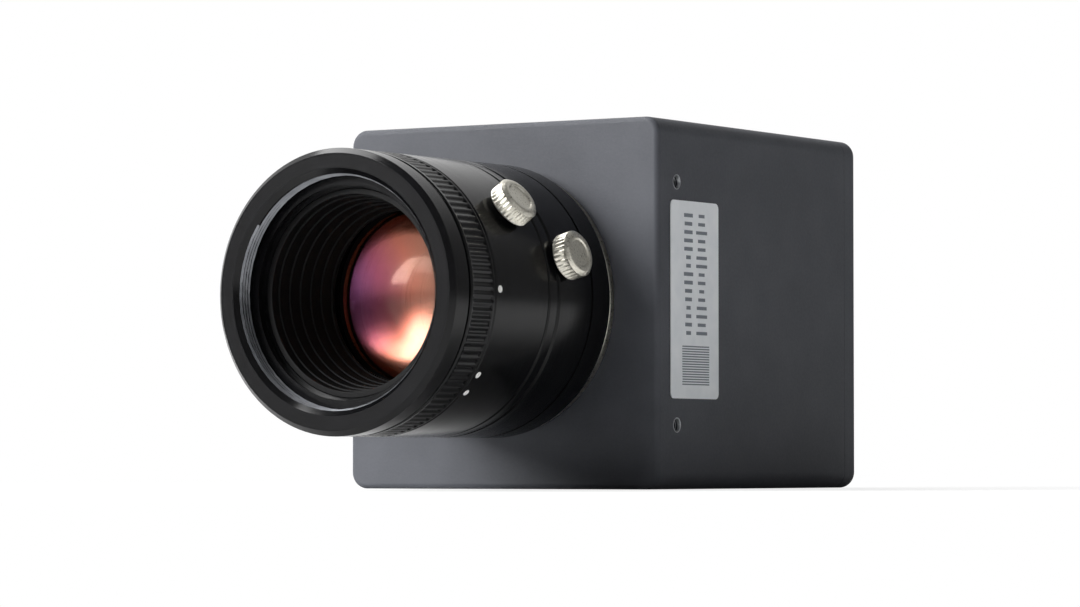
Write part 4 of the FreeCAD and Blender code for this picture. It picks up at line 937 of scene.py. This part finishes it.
class VISION_OT_marks(bpy.types.Operator):
    """Fills the engraved dots, scale lines and numerals with white"""

    bl_idname = "vision.marks"
    bl_label = "Marks"

    def execute(self, context):
        settings = context.scene.vision_marks
        ink = finish("ink_white")
        proud = 0.03
        wide = settings.dot_radius
        dot = turned(eased([(0, -0.1), (wide, -0.1), (wide, proud), (0, proud)], 0.01), 32)
        dot.transform(Matrix.Scale(MM, 4))
        turn_to_world = OPTICAL.to_3x3().normalized()
        places = []
        for turn in DOT_TURNS:
            way = Vector((math.cos(math.radians(turn)), math.sin(math.radians(turn)), 0))
            spot = way * LENS_RADIUS + Vector((0, 0, RIM_FRONT - settings.dot_height))
            places.append((OPTICAL @ spot, turn_to_world @ way))
        stamped("focus_index_dots", dot, places, "focus_ring", "lens_black", "ink_white")

        tree = scale_tree()
        # Name, body, texts, first turn and whole turn in degrees, places of the lines and the numerals
        scales = (
            ("iris_scale", "iris_ring", STOPS, 190.0, IRIS_TURN, IRIS_END - 1.0, IRIS_END - 2.6),
            ("focus_scale", "focus_ring", DISTANCES, 124.0, FOCUS_TURN, FOCUS_START + 1.1, FOCUS_START + 2.9),
        )
        for name, body, texts, first, travel, line_place, text_place in scales:
            step = travel / (len(texts) - 1)
            lines = grown(
                tree, None, lines=len(texts), first=math.radians(first), step=math.radians(step),
                radius=LENS_RADIUS, height=line_place, length=1.2, width=0.22, proud=0.06, material=ink,
            )
            words = [
                wrapped(text, first + step * index, text_place, settings.numeral)
                for index, text in enumerate(texts)
            ]
            scale_piece(name, [lines, *words], body)

        line = grown(
            tree, None, lines=1, first=math.radians(244), step=0.0, radius=LENS_RADIUS,
            height=(INDEX_START + INDEX_END) / 2, length=INDEX_END - INDEX_START - 0.5,
            width=0.3, proud=0.06, material=ink,
        )
        scale_piece("index_line", [line], "camera")
        return {"FINISHED"}


def scale_piece(name, meshes, body):
    mesh = joined_mesh(meshes)
    mesh.transform(OPTICAL)
    piece_from(mesh, name, body, "lens_black", "ink_white")


def wrapped(text, turn, height, size):
    """A numeral as a thin solid wrapped on the lens, its foot towards the housing."""
    letters = bpy.data.curves.new("numeral", "FONT")
    letters.body = text
    letters.size = size
    letters.align_x = "CENTER"
    letters.align_y = "CENTER"
    letters.extrude = 0.04
    letters.resolution_u = 3
    holder = bpy.data.objects.new("numeral", letters)
    bpy.context.scene.collection.objects.link(holder)
    seen = bpy.context.evaluated_depsgraph_get()
    mesh = bpy.data.meshes.new_from_object(holder.evaluated_get(seen))
    bpy.data.objects.remove(holder)
    for vertex in mesh.vertices:
        x, y, z = vertex.co
        angle = math.radians(turn) + x / LENS_RADIUS
        reach = LENS_RADIUS + z - 0.01
        vertex.co = (reach * math.cos(angle), reach * math.sin(angle), height + y)
    return mesh


# Label ----------------------------------------------------------------------------------------

class VisionLabel(bpy.types.PropertyGroup):
    corner: FloatProperty(name="Corner", description="Radius of the label's corners, in mm", default=0.7)
    rows: IntProperty(name="Rows", description="Printed bars down the label", default=15, min=1)


class VISION_OT_label(bpy.types.Operator):
    """Makes the silver film label with its plain printed bars"""

    bl_idname = "vision.label"
    bl_label = "Label"

    def execute(self, context):
        settings = context.scene.vision_label
        wide = (high("type_label").y - low("type_label").y) / MM
        tall = (high("type_label").z - low("type_label").z) / MM
        thick = (high("type_label").x - low("type_label").x) / MM
        centre = middle("type_label")
        # The label lies in its own XY plane: X towards the rear, Y up, Z outwards
        on_side = Matrix.Translation((low("type_label").x, centre.y, centre.z)) @ Matrix((
            (0, 0, MM, 0), (MM, 0, 0, 0), (0, MM, 0, 0), (0, 0, 0, 1),
        ))
        film = plate(wide, tall, thick - 0.03, settings.corner)
        film.transform(on_side)
        crisp(piece_from(film, "label_film", "camera", "label", replaces=["type_label"]))
        tree = print_tree()
        ink = finish("ink_grey")
        top = tall / 2 - 1.7
        parts = []
        columns = (
            (-1.5, top, settings.rows, 1.0, 0.7, 2.2, 0.45, 3),
            (1.6, top, settings.rows, 1.0, 1.0, 2.6, 0.4, 8),
            (0.2, top - 15.6, 16, 0.3, 6.2, 6.4, 0.16, 5),
        )
        for x, y, rows, pitch, shortest, longest, bar, seed in columns:
            block = grown(
                tree, None, rows=rows, pitch=pitch, shortest=shortest, longest=longest,
                thickness=bar, proud=0.02, seed=seed, material=ink,
            )
            block.transform(Matrix.Translation((x, y, thick - 0.025)))
            parts.append(block)
        print_mesh = joined_mesh(parts)
        print_mesh.transform(on_side)
        piece_from(print_mesh, "label_print", "camera", "label", "ink_grey")
        return {"FINISHED"}


def plate(wide, tall, thick, corner):
    """A thin plate with rounded corners, centred on X and Y, from Z = 0."""
    steps = 6
    outline = []
    for sx, sy, first in ((1, 1, 0), (-1, 1, 90), (-1, -1, 180), (1, -1, 270)):
        middle_x, middle_y = sx * (wide / 2 - corner), sy * (tall / 2 - corner)
        for step in range(steps + 1):
            turn = math.radians(first + 90 * step / steps)
            outline.append((middle_x + corner * math.cos(turn), middle_y + corner * math.sin(turn)))
    shape = bmesh.new()
    face = shape.faces.new([shape.verts.new((x, y, 0)) for x, y in outline])
    raised = bmesh.ops.extrude_face_region(shape, geom=[face])["geom"]
    bmesh.ops.translate(shape, vec=(0, 0, thick), verts=[v for v in raised if isinstance(v, bmesh.types.BMVert)])
    bmesh.ops.recalc_face_normals(shape, faces=shape.faces)
    mesh = bpy.data.meshes.new("plate")
    shape.to_mesh(mesh)
    shape.free()
    return mesh


# Panel and main -------------------------------------------------------------------------------

STEPS = (
    VISION_OT_stage, VISION_OT_plain_nodes, VISION_OT_focus_ring, VISION_OT_lock_screws,
    VISION_OT_front_glass, VISION_OT_threads, VISION_OT_marks, VISION_OT_label,
)
GROUPS = {
    "vision_stage": VisionStage, "vision_finish": VisionFinish, "vision_rings": VisionRings,
    "vision_glass": VisionGlass, "vision_threads": VisionThreads, "vision_marks": VisionMarks,
    "vision_label": VisionLabel,
}


class VISION_PT_panel(bpy.types.Panel):
    """Lists the pieces that can be made"""

    bl_idname = "VISION_PT_panel"
    bl_label = "Machine Vision Camera"
    bl_space_type = "VIEW_3D"
    bl_region_type = "UI"
    bl_category = "Vision Camera"

    def draw(self, context):
        for step in STEPS:
            self.layout.operator(step.bl_idname)


CLASSES = (*GROUPS.values(), *STEPS, VISION_PT_panel)


def register():
    for item in CLASSES:
        bpy.utils.register_class(item)
    for name, group in GROUPS.items():
        setattr(bpy.types.Scene, name, PointerProperty(type=group))


def unregister():
    for name in GROUPS:
        delattr(bpy.types.Scene, name)
    for item in reversed(CLASSES):
        bpy.utils.unregister_class(item)


def main():
    register()
    for step in STEPS:
        group, name = step.bl_idname.split(".")
        getattr(getattr(bpy.ops, group), name)()
    bpy.context.scene.view_settings.view_transform = "Standard"


if __name__ == "__main__":
    main()
